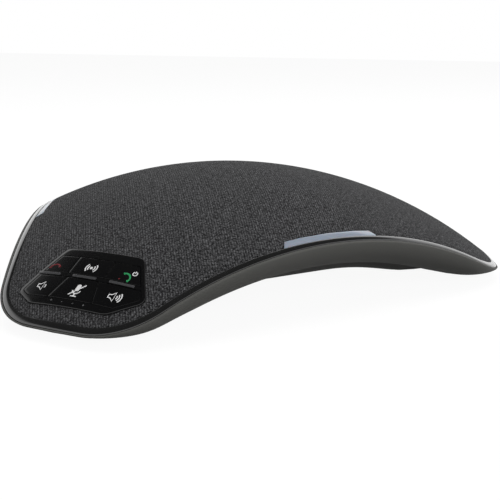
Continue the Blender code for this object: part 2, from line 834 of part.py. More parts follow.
def bottom_cover():
    obj = place("bottom_cover", prism(cover_outline(0), BELLY_HEIGHT, COVER_TOP), matte_grey())
    holes = place("cover_holes", cylinders(COVER_SCREWS, SCREW_BORE, 0, HEIGHT, 12), None)
    cut(obj, holes)
    return obj


def trim_ring():
    """Gloss ring, crowned a little, round the edge of the fabric."""
    rings = [on_dome(ring(0), 0), on_dome(ring(TRIM_WIDTH / 2), -TRIM_CROWN), on_dome(ring(TRIM_WIDTH), 0),
             on_dome(ring(TRIM_WIDTH), TRIM_THICKNESS), on_dome(ring(0), TRIM_THICKNESS)]
    return place("trim_ring", loft(rings, closed=True), gloss_black())


def strip_outline(inset, outer):
    """A light bar's plan beside the rim, in its side's own frame, where Y points outwards."""
    inner = SIDE_REACH - STRIP_WIDTH - inset
    slope = STRIP_SLANT / STRIP_WIDTH
    wide = STRIP_HALF + inset + (outer - (SIDE_REACH - GAP)) * slope
    narrow = STRIP_HALF + inset - STRIP_SLANT
    return np.array([(wide, outer), (-wide, outer), (-narrow, inner), (narrow, inner)])


def strip_notches(name):
    bm = bmesh.new()
    for angle in SIDE_ANGLES.values():
        add_mesh(bm, prism(strip_outline(GAP, SIDE_REACH + 0.002), 0, HEIGHT),
                 Matrix.Rotation(math.radians(angle - 90), 4, "Z"))
    return place(name, bm, None)


def light_strip(name):
    bm = domed(strip_outline(0, SIDE_REACH - GAP), -STRIP_DEPTH, 0)
    return place("light_strip_" + name, bm, milky_light(), SIDES[name])


def fabric_cover():
    obj = place("fabric_cover", domed(ring(-GAP), -FABRIC, 0), charcoal_knit())
    opening = place("fabric_opening", prism(rounded(shrink(PANEL_CORNERS, -GAP)), -0.02, 0.02), None, PANEL)
    cut(obj, strip_notches("fabric_notches"), opening)
    return obj


def grille_holes():
    """Rings of round holes over the loudspeaker, and one over each microphone."""
    bm = bmesh.new()
    cylinder(bm, 0, 0, 0.002, 0, HEIGHT + 0.01, 6)
    for reach, count in ((0.010, 6), (0.020, 10)):
        for k in range(count):
            angle = 2 * math.pi * k / count
            cylinder(bm, reach * math.cos(angle), reach * math.sin(angle), 0.002, 0, HEIGHT + 0.01, 6)
    for name, reach in MIC_REACH.items():
        angle = math.radians(ARM_ANGLES[name])
        cylinder(bm, reach * math.cos(angle), reach * math.sin(angle), 0.001, 0, HEIGHT + 0.01, 8)
    return place("grille_holes", bm, None)


def grille_bosses():
    bm = bmesh.new()
    for x, y in HOUSING_BOSSES:
        outer = 1 + GRILLE_BOSS / math.hypot(x, y)
        top = float(dome_height(x * outer, y * outer)) - FABRIC - 2 * GAP
        cylinder(bm, x, y, GRILLE_BOSS, boss_heights(x, y)[1] + GAP, top)
    return place("grille_bosses", bm, None)


def grille_bores():
    bm = bmesh.new()
    for x, y in HOUSING_BOSSES:
        cylinder(bm, x, y, SCREW_BORE, 0, float(dome_height(x, y)) - SHELF_DEPTH, 12)
    return place("grille_bores", bm, None)


def grille_frame():
    """Rigid dome under the fabric; the panel, the small boards and the screws take hold of it."""
    top = FABRIC + GAP
    root = top + GRILLE / 2
    obj = place("grille_frame", domed(ring(-GAP), -top - GRILLE, -top), black_plastic())
    join(obj, grille_bosses())
    for name, angle in SIDE_ANGLES.items():
        join(obj, *stakes("light_" + name, LIGHT_PINS, LIGHT_BOARD_DEPTH, LIGHT_BOARD[2], root,
                          dome_matrix(angle, LIGHT_FRAME_REACH)))
    for name, angle in ARM_ANGLES.items():
        join(obj, *stakes("mic_" + name, MIC_PINS, MIC_BOARD_DEPTH, MIC_BOARD[2], root,
                          dome_matrix(angle, MIC_REACH[name])))
    pocket = place("panel_pocket", prism(rounded(shrink(PANEL_CORNERS, -GAP)),
                                         PANEL_PROUD - PANEL_THICKNESS - GAP - 0.0025, 0.02), None, PANEL)
    through = place("panel_through", prism(rounded(shrink(PANEL_CORNERS, PANEL_LEDGE)), -0.02, 0.02), None,
                    PANEL)
    floor = place("pocket_floor", domed(rounded(shrink(PANEL_CORNERS, -0.003)), -0.02,
                                        PANEL_PROUD - PANEL_THICKNESS - GAP, crown=0), None, PANEL)
    cut(pocket, floor)
    cut(obj, strip_notches("grille_notches"), pocket, through, grille_holes(), grille_bores())
    return obj


# ---------------------------------------------------------------- control panel and keys

KEYWELL = rounded(shrink(PANEL_CORNERS, PANEL_LEDGE))
KEYWELL_INNER = rounded(shrink(PANEL_CORNERS, PANEL_LEDGE + GAP))
PANEL_SINE = PANEL_REACH / DOME_RADIUS
PANEL_COSINE = math.sqrt(1 - PANEL_SINE ** 2)
BOARD_FRONT = (float(dome_height(0.0, PANEL_REACH)) - (KEY_BOARD_DEPTH + BOARD) * PANEL_COSINE
               - TIP_HEIGHT - FLOOR - BOARD_CLEAR) / PANEL_SINE
KEY_LAYOUT = {
    "hang_up": ("rear", -1), "pairing": ("rear", 0), "answer": ("rear", 1),
    "volume_down": ("front", -1), "mute": ("front", 0), "volume_up": ("front", 1),
}


def row_band(points, row, gap):
    """Clip an outline to one row of keys; the gap keeps clear of the bezel on both sides."""
    near = WEB_HALF + gap
    far = {"rear": REAR_ROW_DEPTH, "front": FRONT_ROW_DEPTH}[row] - gap
    way = {"rear": 1, "front": -1}[row]
    return clip(clip(points, (0, -way), -near), (0, way), far)


def key_outline(row, column):
    """One key's plan: its row, between straight or flared column grooves."""
    points = row_band(KEYWELL_INNER, row, GAP)
    flare = {"rear": 0.0, "front": FRONT_FLARE}[row]
    edge = {"rear": REAR_COLUMN, "front": FRONT_COLUMN}[row]
    half = KEY_GROOVE / 2
    for side in (-1, 1):
        if column == 0:
            points = clip(points, (side, flare), edge - half)
        elif column == side:
            points = clip(points, (-side, -flare), -edge - half)
    return points


def near_stem(points, column):
    """The part of an outline beside a key's stem, where its lip runs."""
    middle = column * STEM_PITCH
    return clip(clip(points, (1, 0), middle + LIP_LENGTH / 2), (-1, 0), LIP_LENGTH / 2 - middle)


def panel_bezel():
    """Gloss frame round the keys, with a web between the rows and a strip of lights in front."""
    bm = domed(rounded(PANEL_CORNERS), PANEL_PROUD - PANEL_THICKNESS, PANEL_PROUD, crown=0)
    obj = place("panel_bezel", bm, satin_black(), PANEL)
    posts, pins = stakes("key_board", KEY_PINS, KEY_BOARD_DEPTH, BOARD, PANEL_THICKNESS - PANEL_PROUD - 0.0002,
                         Matrix.Identity(4))
    for guide in (posts, pins):
        guide.parent = PANEL
    join(obj, posts, pins)
    wells = bmesh.new()
    for row in ("rear", "front"):
        add_mesh(wells, prism(row_band(KEYWELL, row, 0), -0.0050, 0.003))
    lights = place("light_holes", cylinders(light_places(), LIGHT_RADIUS + GAP, -0.0030, 0.003, 10), None, PANEL)
    cut(obj, place("key_wells", wells, None, PANEL), lights)
    join(obj, divider_bars())
    return obj


def light_places():
    return [(LIGHT_SPACING * (k - 1.5), LIGHT_ROW_Y) for k in range(4)]


def push_key(name, row, column):
    """Key cap with a retaining lip under the bezel and a stem down to its switch."""
    low = PANEL_PROUD - KEY_THICKNESS
    outline = key_outline(row, column)
    obj = place("key_" + name, domed(outline, low, PANEL_PROUD, crown=0), satin_black(), PANEL)
    lip_top = PANEL_PROUD - PANEL_THICKNESS - GAP
    lip_low = lip_top - LIP_THICKNESS
    body = domed(near_stem(outline, column) * 0.98, lip_top - LIP_THICKNESS / 2, low + LIP_THICKNESS / 2, crown=0)
    lip = domed(near_stem(row_band(KEYWELL_INNER, row, -LIP_REACH), column), lip_low, lip_top, crown=0)
    stem = cylinders([(column * STEM_PITCH, KEY_ROW_Y[row])], STEM_RADIUS, STEM_LOW, -PANEL_THICKNESS, 12)
    join(obj, place(name + "_body", body, None, PANEL), place(name + "_lip", lip, None, PANEL),
         place(name + "_stem", stem, None, PANEL))
    return obj


def divider_bars():
    """Three raised bars on the web between the rows."""
    bm = bmesh.new()
    for column in (-1, 0, 1):
        x = column * KEY_PITCH
        add_mesh(bm, box((BAR_LENGTH, 1.3 * WEB_HALF, 3 * BAR_HEIGHT),
                         (x, 0, PANEL_PROUD - BAR_HEIGHT / 2 - sag(x, 0))))
    return place("divider_bars", bm, None, PANEL)


def light_guide():
    """Clear bar under the bezel, with a pip up through each of the four holes."""
    top = PANEL_PROUD - PANEL_THICKNESS - GAP - sag(1.5 * LIGHT_SPACING, LIGHT_ROW_Y)
    length = 3 * LIGHT_SPACING + 4 * LIGHT_RADIUS
    obj = place("light_guide", box((length, 1.8 * LIGHT_RADIUS, LIP_THICKNESS),
                                   (0, LIGHT_ROW_Y, top - LIP_THICKNESS / 2)), milky_light(), PANEL)
    join(obj, place("light_pips", cylinders(light_places(), 0.9 * LIGHT_RADIUS, top - LIP_THICKNESS / 2,
                                            PANEL_PROUD - 0.0006, 10), None, PANEL))
    return obj


def key_board():
    low = -KEY_BOARD_DEPTH - BOARD
    obj = place("key_board", prism(board_outline(), low, -KEY_BOARD_DEPTH), circuit_green(), PANEL)
    cut(obj, place("key_board_holes", cylinders(KEY_PINS, PIN_RADIUS + GAP, -0.01, -0.004, 10), None, PANEL))
    return obj


def board_outline():
    return clip(rounded(shrink(PANEL_CORNERS, PANEL_LEDGE + GAP)), (0, -1), BOARD_FRONT)


def key_mat():
    """Rubber mat over the key board: six soft cups that the keys' stems dip into."""
    base = -KEY_BOARD_DEPTH + GAP
    obj = place("key_mat", prism(board_outline(), base, base + MAT), black_rubber(), PANEL)
    centres = [(column * STEM_PITCH, KEY_ROW_Y[row]) for row, column in KEY_LAYOUT.values()]
    cups = cylinders(centres, 2 * STEM_RADIUS, base + MAT / 2, base + SWITCH_HEIGHT, 12)
    join(obj, place("mat_cups", cups, None, PANEL))
    wells = cylinders(centres, STEM_RADIUS + GAP, base + MAT, 0, 12)
    cut(obj, place("cup_wells", wells, None, PANEL),
        place("mat_holes", cylinders(KEY_PINS, POST_RADIUS + GAP, -0.01, 0, 10), None, PANEL))
    return obj


# ---------------------------------------------------------------- light boards, microphones, socket

def light_board(name):
    """Thin board with three lamps that face up into the light bar."""
    frame = dome_matrix(SIDE_ANGLES[name], LIGHT_FRAME_REACH)
    low = -LIGHT_BOARD_DEPTH - LIGHT_BOARD[2]
    obj = place("light_board_" + name, box(LIGHT_BOARD, (0, 0, low + LIGHT_BOARD[2] / 2)), circuit_green())
    obj.matrix_local = frame
    holes = place("light_board_holes_" + name, cylinders(LIGHT_PINS, PIN_RADIUS + GAP, low - 0.001, -0.003, 10),
                  None)
    holes.matrix_local = frame
    cut(obj, holes)
    lamps = bmesh.new()
    y = -LIGHT_BOARD[1] / 2 + LED_SIZE[1]
    for k in (-1, 0, 1):
        add_mesh(lamps, box(LED_SIZE, (k * LED_SPACING, y, -LIGHT_BOARD_DEPTH + LED_SIZE[2] / 4)))
    guide = place("lamps_" + name, lamps, None)
    guide.matrix_local = frame
    join(obj, guide)
    return obj


def microphone_boot(name):
    """Rubber boot that seals a microphone against the grille; its sound hole runs through."""
    low = -MIC_BOARD_DEPTH + GAP
    high = low + MIC_BOOT_HEIGHT - GAP
    bore = POST_RADIUS
    profile = [(MIC_BOOT, high), (MIC_BOOT, low), (bore, low), (bore, high)]
    obj = turned("microphone_boot_" + name, profile, black_rubber(), steps=20)
    obj.matrix_local = dome_matrix(ARM_ANGLES[name], MIC_REACH[name])
    return obj


def microphone_board(name):
    frame = dome_matrix(ARM_ANGLES[name], MIC_REACH[name])
    low = -MIC_BOARD_DEPTH - MIC_BOARD[2]
    obj = place("microphone_board_" + name, box(MIC_BOARD, (0, 0, low + MIC_BOARD[2] / 2)), circuit_green())
    obj.matrix_local = frame
    holes = place("mic_board_holes_" + name, cylinders(MIC_PINS, PIN_RADIUS + GAP, low - 0.001, -0.003, 10), None)
    holes.matrix_local = frame
    cut(obj, holes)
    return obj


SOCKET_HEIGHT = float(dome_height(0.0, SIDE_REACH)) - SOCKET_DROP
SOCKET_MOUTH = SIDE_REACH + HOUSING_OUT - SOCKET_RECESS
SOCKET_BACK = SOCKET_MOUTH - SOCKET[1]
SOCKET_BOARD_Y = SIDE_REACH - SOCKET_BOARD_INSET - SOCKET_BOARD[1] / 2
SOCKET_POSTS = [(side * SOCKET_BOARD[0] / 3, SOCKET_BOARD_Y - SOCKET_BOARD[1] / 4) for side in (1, -1)]


def socket_outline(grow):
    return rectangle(SOCKET[0] / 2 + grow, SOCKET[2] / 2 + grow, SOCKET[2] / 2.2 + grow)


def lying_prism(points, start, end, height):
    """A prism along +Y, its outline upright, centred at a height."""
    bm = prism(points, -end, -start)
    bmesh.ops.rotate(bm, verts=bm.verts, cent=(0, 0, 0), matrix=Matrix.Rotation(math.radians(90), 3, "X"))
    bmesh.ops.translate(bm, verts=bm.verts, vec=(0, 0, height))
    return bm


def socket_slot():
    middle = SOCKET_HEIGHT + SOCKET[2] / 2
    return place("socket_slot", lying_prism(socket_outline(GAP), SIDE_REACH - 0.010, SIDE_REACH + 0.010, middle),
                 None, SIDES["rear"])


def socket_posts():
    bm = bmesh.new()
    for x, y in SOCKET_POSTS:
        cylinder(bm, x, y, STANDOFF_RADIUS, in_floor(x, y), SOCKET_HEIGHT - SOCKET_BOARD[2] - 2 * GAP, 12)
    return place("socket_posts", bm, None)


def usb_socket():
    middle = SOCKET_HEIGHT + SOCKET[2] / 2
    obj = place("usb_socket", lying_prism(socket_outline(0), SOCKET_BACK, SOCKET_MOUTH, middle), bright_nickel(),
                SIDES["rear"])
    hollow = place("usb_hollow", lying_prism(socket_outline(-SOCKET_WALL), SOCKET_BACK + 0.001,
                                             SOCKET_MOUTH + 0.001, middle), None, SIDES["rear"])
    cut(obj, hollow)
    length = SOCKET[1] - 0.003
    tongue = box((SOCKET[0] * 0.66, length, SOCKET[2] * 0.22), (0, SOCKET_BACK + 0.0005 + length / 2, middle))
    join(obj, place("usb_tongue", tongue, None, SIDES["rear"]))
    return obj


def usb_board():
    middle = SOCKET_HEIGHT - GAP - SOCKET_BOARD[2] / 2
    return place("usb_board", box(SOCKET_BOARD, (0, SOCKET_BOARD_Y, middle)), circuit_green(), SIDES["rear"])


# ---------------------------------------------------------------- loudspeaker

FLANGE_LOW = BOX_TOP + GAP
FLANGE_TOP = FLANGE_LOW + FLANGE_THICKNESS
MAGNET_LOW = BOX_LOW + BOX_FLOOR + GAP
MAGNET_TOP = MAGNET_LOW + MAGNET_HEIGHT
BASKET_LOW = MAGNET_TOP + GAP
BASKET_PLATE = 0.0015
CONE_TOP = FLANGE_TOP
CONE_LOW = BASKET_LOW + BASKET_PLATE + CONE_STAND
CONE_DEPTH = CONE_TOP - CONE_WALL - CONE_LOW
BASKET_NECK = MAGNET_RADIUS + 0.001
BASKET_MOUTH = CONE_RADIUS + 0.0045
CORNER_PLACES = [(sx * SPEAKER_SCREW, sy * SPEAKER_SCREW) for sx in (1, -1) for sy in (1, -1)]


def speaker_chamber():
    """Closed box behind the loudspeaker, on three ears that reach out to posts in the arms."""
    obj = place("speaker_chamber", prism(rectangle(BOX_HALF, BOX_HALF, BOX_CORNER), BOX_LOW, BOX_TOP),
                black_plastic())
    ears = bmesh.new()
    length = BOX_POST_REACH + EAR_WIDTH / 2 - BOX_HALF + BOX_WALL / 2
    for angle in ARM_ANGLES.values():
        add_mesh(ears, box((length, EAR_WIDTH, EAR_THICKNESS),
                           (BOX_HALF - BOX_WALL / 2 + length / 2, 0, EAR_HEIGHT + EAR_THICKNESS / 2)),
                 Matrix.Rotation(math.radians(angle), 4, "Z"))
    join(obj, place("chamber_ears", ears, None))
    inner = BOX_HALF - BOX_WALL
    cut(obj, place("chamber_hollow", prism(rectangle(inner, inner, BOX_CORNER - BOX_WALL), BOX_LOW + BOX_FLOOR,
                                           HEIGHT), None))
    boss = inner + 0.0004 - SPEAKER_SCREW
    join(obj, place("chamber_bosses", cylinders(CORNER_PLACES, boss, BOX_TOP - 0.011, BOX_TOP), None),
         place("basket_pins", cylinders(CORNER_PLACES, SCREW_SHANK, BOX_TOP - 0.002, FLANGE_TOP + PIN_STAND, 12),
               None))
    cut(obj, place("ear_bores", cylinders(BOX_POSTS, SCREW_BORE, EAR_HEIGHT - 0.002, HEIGHT, 12), None))
    return obj


def speaker_basket():
    """Pressed frame: square flange, open conical cage, and the plate over the magnet."""
    plate = place("speaker_basket", prism(rectangle(FLANGE_HALF, FLANGE_HALF, BOX_CORNER - 0.001), FLANGE_LOW,
                                          FLANGE_TOP), zinc_steel())
    wall = 0.0012
    coil_hole = COIL_RADIUS + 0.002
    cage = [(BASKET_MOUTH + wall, FLANGE_TOP - 0.0004), (BASKET_NECK, BASKET_LOW + BASKET_PLATE),
            (BASKET_NECK, BASKET_LOW), (coil_hole, BASKET_LOW), (coil_hole, BASKET_LOW + BASKET_PLATE),
            (BASKET_NECK - wall, BASKET_LOW + BASKET_PLATE), (BASKET_MOUTH - wall, FLANGE_TOP - 0.0004)]
    cut(plate, place("flange_mouth", cylinders([(0, 0)], BASKET_MOUTH, 0, HEIGHT, 32), None),
        place("flange_bores", cylinders(CORNER_PLACES, SCREW_BORE, 0, HEIGHT, 12), None))
    join(plate, turned("cage", cage, None))
    height = FLANGE_LOW - BASKET_LOW - BASKET_PLATE
    middle = BASKET_LOW + BASKET_PLATE + height / 2
    windows = place("cage_windows", box((0.1, 0.018, height - 0.004), (0, 0, middle)), None)
    more_windows = place("cage_windows_across", box((0.018, 0.1, height - 0.004), (0, 0, middle)), None)
    cut(plate, windows, more_windows)
    return plate


def speaker_magnet():
    """Magnet with its centre pole; the coil hangs in the slot between them."""
    groove = MAGNET_LOW + 0.0012
    inner = COIL_RADIUS - COIL_WALL - GAP
    outer = COIL_RADIUS + GAP
    profile = [(0, MAGNET_TOP), (inner, MAGNET_TOP), (inner, groove), (outer, groove), (outer, MAGNET_TOP),
               (MAGNET_RADIUS, MAGNET_TOP), (MAGNET_RADIUS, MAGNET_LOW), (0, MAGNET_LOW)]
    return turned("speaker_magnet", profile, zinc_steel(), closed=False)


def voice_coil():
    inner = COIL_RADIUS - COIL_WALL
    low = CONE_LOW - COIL_LENGTH
    profile = [(COIL_RADIUS, CONE_LOW), (COIL_RADIUS, low), (inner, low), (inner, CONE_LOW)]
    return turned("voice_coil", profile, bright_nickel(), steps=24)


def speaker_spider():
    """Corrugated disc that centres the coil over the magnet."""
    start = COIL_RADIUS + GAP
    end = BASKET_NECK - 0.0016
    base = BASKET_LOW + BASKET_PLATE + GAP
    waves = 5
    lower = [(start + (end - start) * k / waves, base + SUSPENSION * (k % 2) * 0.8) for k in range(waves + 1)]
    upper = [(r, z + SUSPENSION) for r, z in lower]
    return turned("speaker_spider", lower[::-1] + upper, paper_cone(), steps=28)


def speaker_cone():
    start = COIL_RADIUS + GAP
    profile = [(CONE_RADIUS, CONE_TOP), (CONE_RADIUS, CONE_TOP - CONE_WALL), (start, CONE_LOW),
               (start, CONE_LOW + CONE_WALL)]
    return turned("speaker_cone", profile, paper_cone())


def dust_cap():
    """Small dome that closes the cone's neck."""
    radius = COIL_RADIUS + 0.0011
    base = CONE_LOW + CONE_WALL + GAP + CONE_DEPTH * (radius - COIL_RADIUS) / (CONE_RADIUS - COIL_RADIUS)
    rise = 0.003
    steps = 4
    angles = [math.pi / 2 * k / steps for k in range(steps + 1)]
    outer = [(radius * math.sin(a), base + rise * math.cos(a)) for a in angles]
    inner = [((radius - CONE_WALL) * math.sin(a), base + (rise - CONE_WALL) * math.cos(a)) for a in angles]
    outer[0] = (0, base + rise)
    inner[0] = (0, base + rise - CONE_WALL)
    return turned("dust_cap", outer + inner[::-1], paper_cone(), closed=False, steps=24)


def speaker_surround():
    """Half-round rubber roll between the cone and the flange."""
    inner = CONE_RADIUS
    outer = BASKET_MOUTH + GAP
    base = FLANGE_TOP + GAP
    middle = (inner + outer) / 2
    radius = (outer - inner) / 2
    steps = 4
    angles = [math.pi * k / steps for k in range(steps + 1)]
    thick = SUSPENSION
    over = [(middle - (radius + thick / 2) * math.cos(a), base + thick + radius * math.sin(a)) for a in angles]
    below = [(middle - (radius - thick / 2) * math.cos(a), base + radius * math.sin(a)) for a in angles]
    lip = 0.0015
    profile = [(inner - lip, base + thick)] + over + [(outer + lip, base + thick), (outer + lip, base)]
    profile += below[::-1] + [(inner - lip, base)]
    return turned("speaker_surround", profile, black_rubber(), steps=32)


def speaker_gasket():
    """Foam ring between the flange and the grille."""
    inner = BASKET_MOUTH + GAP + 0.0015 + GAP
    outer = inner + 0.002
    top = float(dome_height(outer, 0.0)) - SHELF_DEPTH
    profile = [(outer, top), (outer, FLANGE_TOP + GAP), (inner, FLANGE_TOP + GAP), (inner, top)]
    return turned("speaker_gasket", profile, black_rubber())


# ---------------------------------------------------------------- screws

def screw(name, x, y, seat, tip, parent=CENTRE):
    """Pan head screw: the head bears on the seat and the shank ends at the tip."""
    way = 1 if tip < seat else -1
    near = seat + way * GAP
    far = near + way * SCREW_HEAD_HEIGHT
    obj = place(name, cylinders([(x, y)], SCREW_HEAD, min(near, far), max(near, far), 14), zinc_steel(), parent)
    middle = (near + far) / 2
    shank = cylinders([(x, y)], SCREW_SHANK, min(tip, middle), max(tip, middle), 10)
    join(obj, place(name + "_shank", shank, None, parent))
    return obj


def all_screws():
    for name, housing, cover, chamber in zip(ARM_ANGLES, HOUSING_BOSSES, COVER_SCREWS, BOX_POSTS):
        screw("housing_screw_" + name, *housing, screw_seat(*housing), boss_heights(*housing)[1] + 0.004)
        screw("bottom_cover_screw_" + name, *cover, BELLY_HEIGHT, LEDGE_HEIGHT + 0.004)
        screw("chamber_screw_" + name, *chamber, EAR_HEIGHT + EAR_THICKNESS, EAR_HEIGHT - 0.005)
    top = MAIN_HEIGHT + MAIN_BOARD[2]
    for name, (u, v) in zip(("outer", "inner"), BOARD_SCREWS):
        screw("main_board_screw_" + name, u, v, top, MAIN_HEIGHT - 0.003, ARMS["left"])


# ---------------------------------------------------------------- power and main board

def battery_pack():
    bm = prism(rectangle(BATTERY[0] / 2, BATTERY[1] / 2, 0.003, y=BATTERY_CENTRE_Y), BATTERY_LOW, BATTERY_TOP)
    return place("battery_pack", bm, battery_wrap())


def battery_pad():
    size = (BATTERY[0] * 0.7, BATTERY[1] * 0.6, PAD_THICKNESS)
    return place("battery_pad", box(size, (0, BATTERY_CENTRE_Y, BATTERY_TOP + GAP + PAD_THICKNESS / 2)),
                 black_rubber())


def main_board():
    low = MAIN_HEIGHT
    obj = place("main_board", prism(rectangle(BOARD_HALF[0], BOARD_HALF[1], 0.002, x=MAIN_REACH), low,
                                    low + MAIN_BOARD[2]), circuit_green(), ARMS["left"])
    cut(obj, place("main_board_holes", cylinders(BOARD_SCREWS, SCREW_BORE, 0, HEIGHT, 12), None, ARMS["left"]))
    join(obj, board_components())
    return obj


def processor_shield():
    """Pressed can over the processor, open towards the board."""
    base = MAIN_HEIGHT + MAIN_BOARD[2] + GAP
    u = MAIN_INNER + SHIELD_PLACE[0]
    middle = base + SHIELD[2] / 2
    obj = place("processor_shield", box(SHIELD, (u, SHIELD_PLACE[1], middle)), bright_nickel(), ARMS["left"])
    inside = (SHIELD[0] - 2 * SHIELD_WALL, SHIELD[1] - 2 * SHIELD_WALL, SHIELD[2])
    hollow = box(inside, (u, SHIELD_PLACE[1], middle - SHIELD_WALL))
    cut(obj, place("shield_hollow", hollow, None, ARMS["left"]))
    return obj


def board_components():
    """Capacitors, coils, amplifier and the sockets of the three leads."""
    base = MAIN_HEIGHT + MAIN_BOARD[2] - GAP
    bm = bmesh.new()
    for u, v in CAPACITOR_PLACES:
        cylinder(bm, MAIN_INNER + u, v, CAPACITOR[0], base, base + CAPACITOR[1], 14)
    for u, v in CHOKE_PLACES:
        add_mesh(bm, box(CHOKE, (MAIN_INNER + u, v, base + CHOKE[2] / 2)))
    u, v = AMPLIFIER_PLACE
    add_mesh(bm, box(AMPLIFIER, (MAIN_INNER + u, v, base + AMPLIFIER[2] / 2)))
    for v in LEAD_SOCKETS.values():
        add_mesh(bm, box(LEAD_SOCKET, (MAIN_INNER + LEAD_SOCKET_EDGE, v, base + LEAD_SOCKET[2] / 2)))
    return place("board_components", bm, None, ARMS["left"])


LEAD_SOCKETS = {"key": 0.0105, "speaker": 0.0035, "battery": -0.0065}


def lead(name, points):
    """A sleeved lead through chosen points, as a thin tube."""
    curve = bpy.data.curves.new(name, "CURVE")
    curve.dimensions = "3D"
    curve.bevel_depth = LEAD_RADIUS
    curve.bevel_resolution = 1
    curve.use_fill_caps = True
    curve.materials.append(lead_sleeve())
    spline = curve.splines.new("POLY")
    spline.points.add(len(points) - 1)
    for point, place_at in zip(spline.points, points):
        point.co = (*place_at, 1)
    obj = bpy.data.objects.new(name, curve)
    PARTS.objects.link(obj)
    obj.parent = CENTRE
    return obj


def smooth_route(points, per_span=4):
    """A Catmull-Rom curve through the route's own points."""
    points = [Vector(p) for p in points]
    padded = [2 * points[0] - points[1]] + points + [2 * points[-1] - points[-2]]
    route = []
    for k in range(len(points) - 1):
        a, b, c, d = padded[k:k + 4]
        for step in range(per_span):
            t = step / per_span
            route.append(0.5 * (2 * b + (c - a) * t + (2 * a - 5 * b + 4 * c - d) * t ** 2
                                + (3 * b - a - 3 * c + d) * t ** 3))
    route.append(points[-1])
    return route


def socket_mouth(name):
    """Where a lead meets its socket on the main board, facing the centre."""
    turn = Matrix.Rotation(math.radians(ARM_ANGLES["left"]), 3, "Z")
    inner = MAIN_INNER + LEAD_SOCKET_EDGE - LEAD_SOCKET[0] / 2 - 1.5 * GAP
    height = MAIN_HEIGHT + MAIN_BOARD[2] + LEAD_SOCKET[2] / 2
    return turn @ Vector((inner, LEAD_SOCKETS[name], height)), turn @ Vector((-0.004, 0, 0))


def leads():
    start = PANEL.matrix_local @ Vector((-0.012, 0.006, -KEY_BOARD_DEPTH - BOARD - GAP))
    down = start + Vector((-0.002, 0.006, -0.004))
    end, away = socket_mouth("key")
    lead("key_lead", smooth_route([start, down, *KEY_ROUTE, end + away, end]))
    end, away = socket_mouth("speaker")
    start = Vector((-BOX_HALF - GAP, 0.004, 0.030))
    lead("speaker_lead", smooth_route([start, *SPEAKER_ROUTE, end + away, end]))
    end, away = socket_mouth("battery")
    start = Vector((-BATTERY[0] / 2 - GAP, BATTERY_CENTRE_Y + 0.008, BATTERY_TOP - 0.0025))
    lead("battery_lead", smooth_route([start, *BATTERY_ROUTE, end + away, end]))


# ---------------------------------------------------------------- the whole object

lower_housing()
bottom_cover()
for arm_name in ARM_ANGLES:
    foot(arm_name)
trim_ring()
fabric_cover()
grille_frame()
for side_name in SIDE_ANGLES:
    light_strip(side_name)
    light_board(side_name)
panel_bezel()
for key_name, (key_row, key_column) in KEY_LAYOUT.items():
    push_key(key_name, key_row, key_column)
light_guide()
key_mat()
key_board()
for arm_name in ARM_ANGLES:
    microphone_boot(arm_name)
    microphone_board(arm_name)
usb_socket()
usb_board()
speaker_chamber()
speaker_basket()
speaker_magnet()
voice_coil()
speaker_spider()
speaker_cone()
dust_cap()
speaker_surround()
speaker_gasket()
all_screws()
battery_pack()
battery_pad()
main_board()
processor_shield()
leads()
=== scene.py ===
"""Conference speakerphone: a knit dome in a gloss ring, on an arched matte base, with keys on one arm."""
import json
import math

import bmesh
import bpy
from mathutils import Matrix, Vector

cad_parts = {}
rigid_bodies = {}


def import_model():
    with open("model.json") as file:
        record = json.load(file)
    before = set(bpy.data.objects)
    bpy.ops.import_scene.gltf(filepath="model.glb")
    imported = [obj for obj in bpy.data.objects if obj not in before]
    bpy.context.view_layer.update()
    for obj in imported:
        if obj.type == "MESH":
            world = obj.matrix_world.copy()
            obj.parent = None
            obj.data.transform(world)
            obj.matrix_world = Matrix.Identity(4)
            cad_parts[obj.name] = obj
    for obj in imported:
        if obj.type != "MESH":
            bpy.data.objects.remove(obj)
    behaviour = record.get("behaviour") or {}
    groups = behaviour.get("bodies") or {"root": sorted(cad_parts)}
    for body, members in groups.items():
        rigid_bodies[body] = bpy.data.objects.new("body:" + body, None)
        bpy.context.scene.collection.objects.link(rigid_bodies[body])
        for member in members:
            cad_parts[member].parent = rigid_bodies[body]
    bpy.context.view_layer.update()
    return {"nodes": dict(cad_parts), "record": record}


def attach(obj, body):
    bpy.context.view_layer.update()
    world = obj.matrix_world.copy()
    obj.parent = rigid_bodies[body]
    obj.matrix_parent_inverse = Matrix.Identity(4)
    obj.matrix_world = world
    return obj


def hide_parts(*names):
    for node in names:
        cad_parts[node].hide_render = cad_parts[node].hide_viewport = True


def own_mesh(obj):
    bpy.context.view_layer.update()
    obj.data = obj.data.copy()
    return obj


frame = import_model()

# ---- Camera, table and lamps
# A long lens looks down a little on the control arm's right side. The table and backdrop are plain white
# paper: white to the camera, dimmer in reflections and dark to the light, so the object keeps its tone.
ARMS_CENTRE = Vector((0.0, 0.020286, 0.0))
AIM_HEIGHT, SHIFT_RIGHT, SHIFT_UP = 0.0138, 0.0248, -0.0079
SENSOR, FOCAL_PIXELS, PICTURE_PIXELS = 36, 957.5, 500
azimuth, elevation, distance = math.radians(30.41), math.radians(12.74), 0.490
away = Vector((math.sin(azimuth) * math.cos(elevation), -math.cos(azimuth) * math.cos(elevation),
               math.sin(elevation)))
across = Vector((math.cos(azimuth), math.sin(azimuth), 0))
look = (-away + across * SHIFT_RIGHT + across.cross(-away) * SHIFT_UP).normalized()
camera = bpy.data.objects.new("camera", bpy.data.cameras.new("camera"))
bpy.context.scene.collection.objects.link(camera)
camera.data.lens = SENSOR * FOCAL_PIXELS / PICTURE_PIXELS
camera.data.clip_start, camera.data.clip_end = 0.01, 20
camera.location = ARMS_CENTRE + Vector((0, 0, AIM_HEIGHT)) + away * distance
camera.rotation_mode = "QUATERNION"
camera.rotation_quaternion = look.to_track_quat("-Z", "Y")
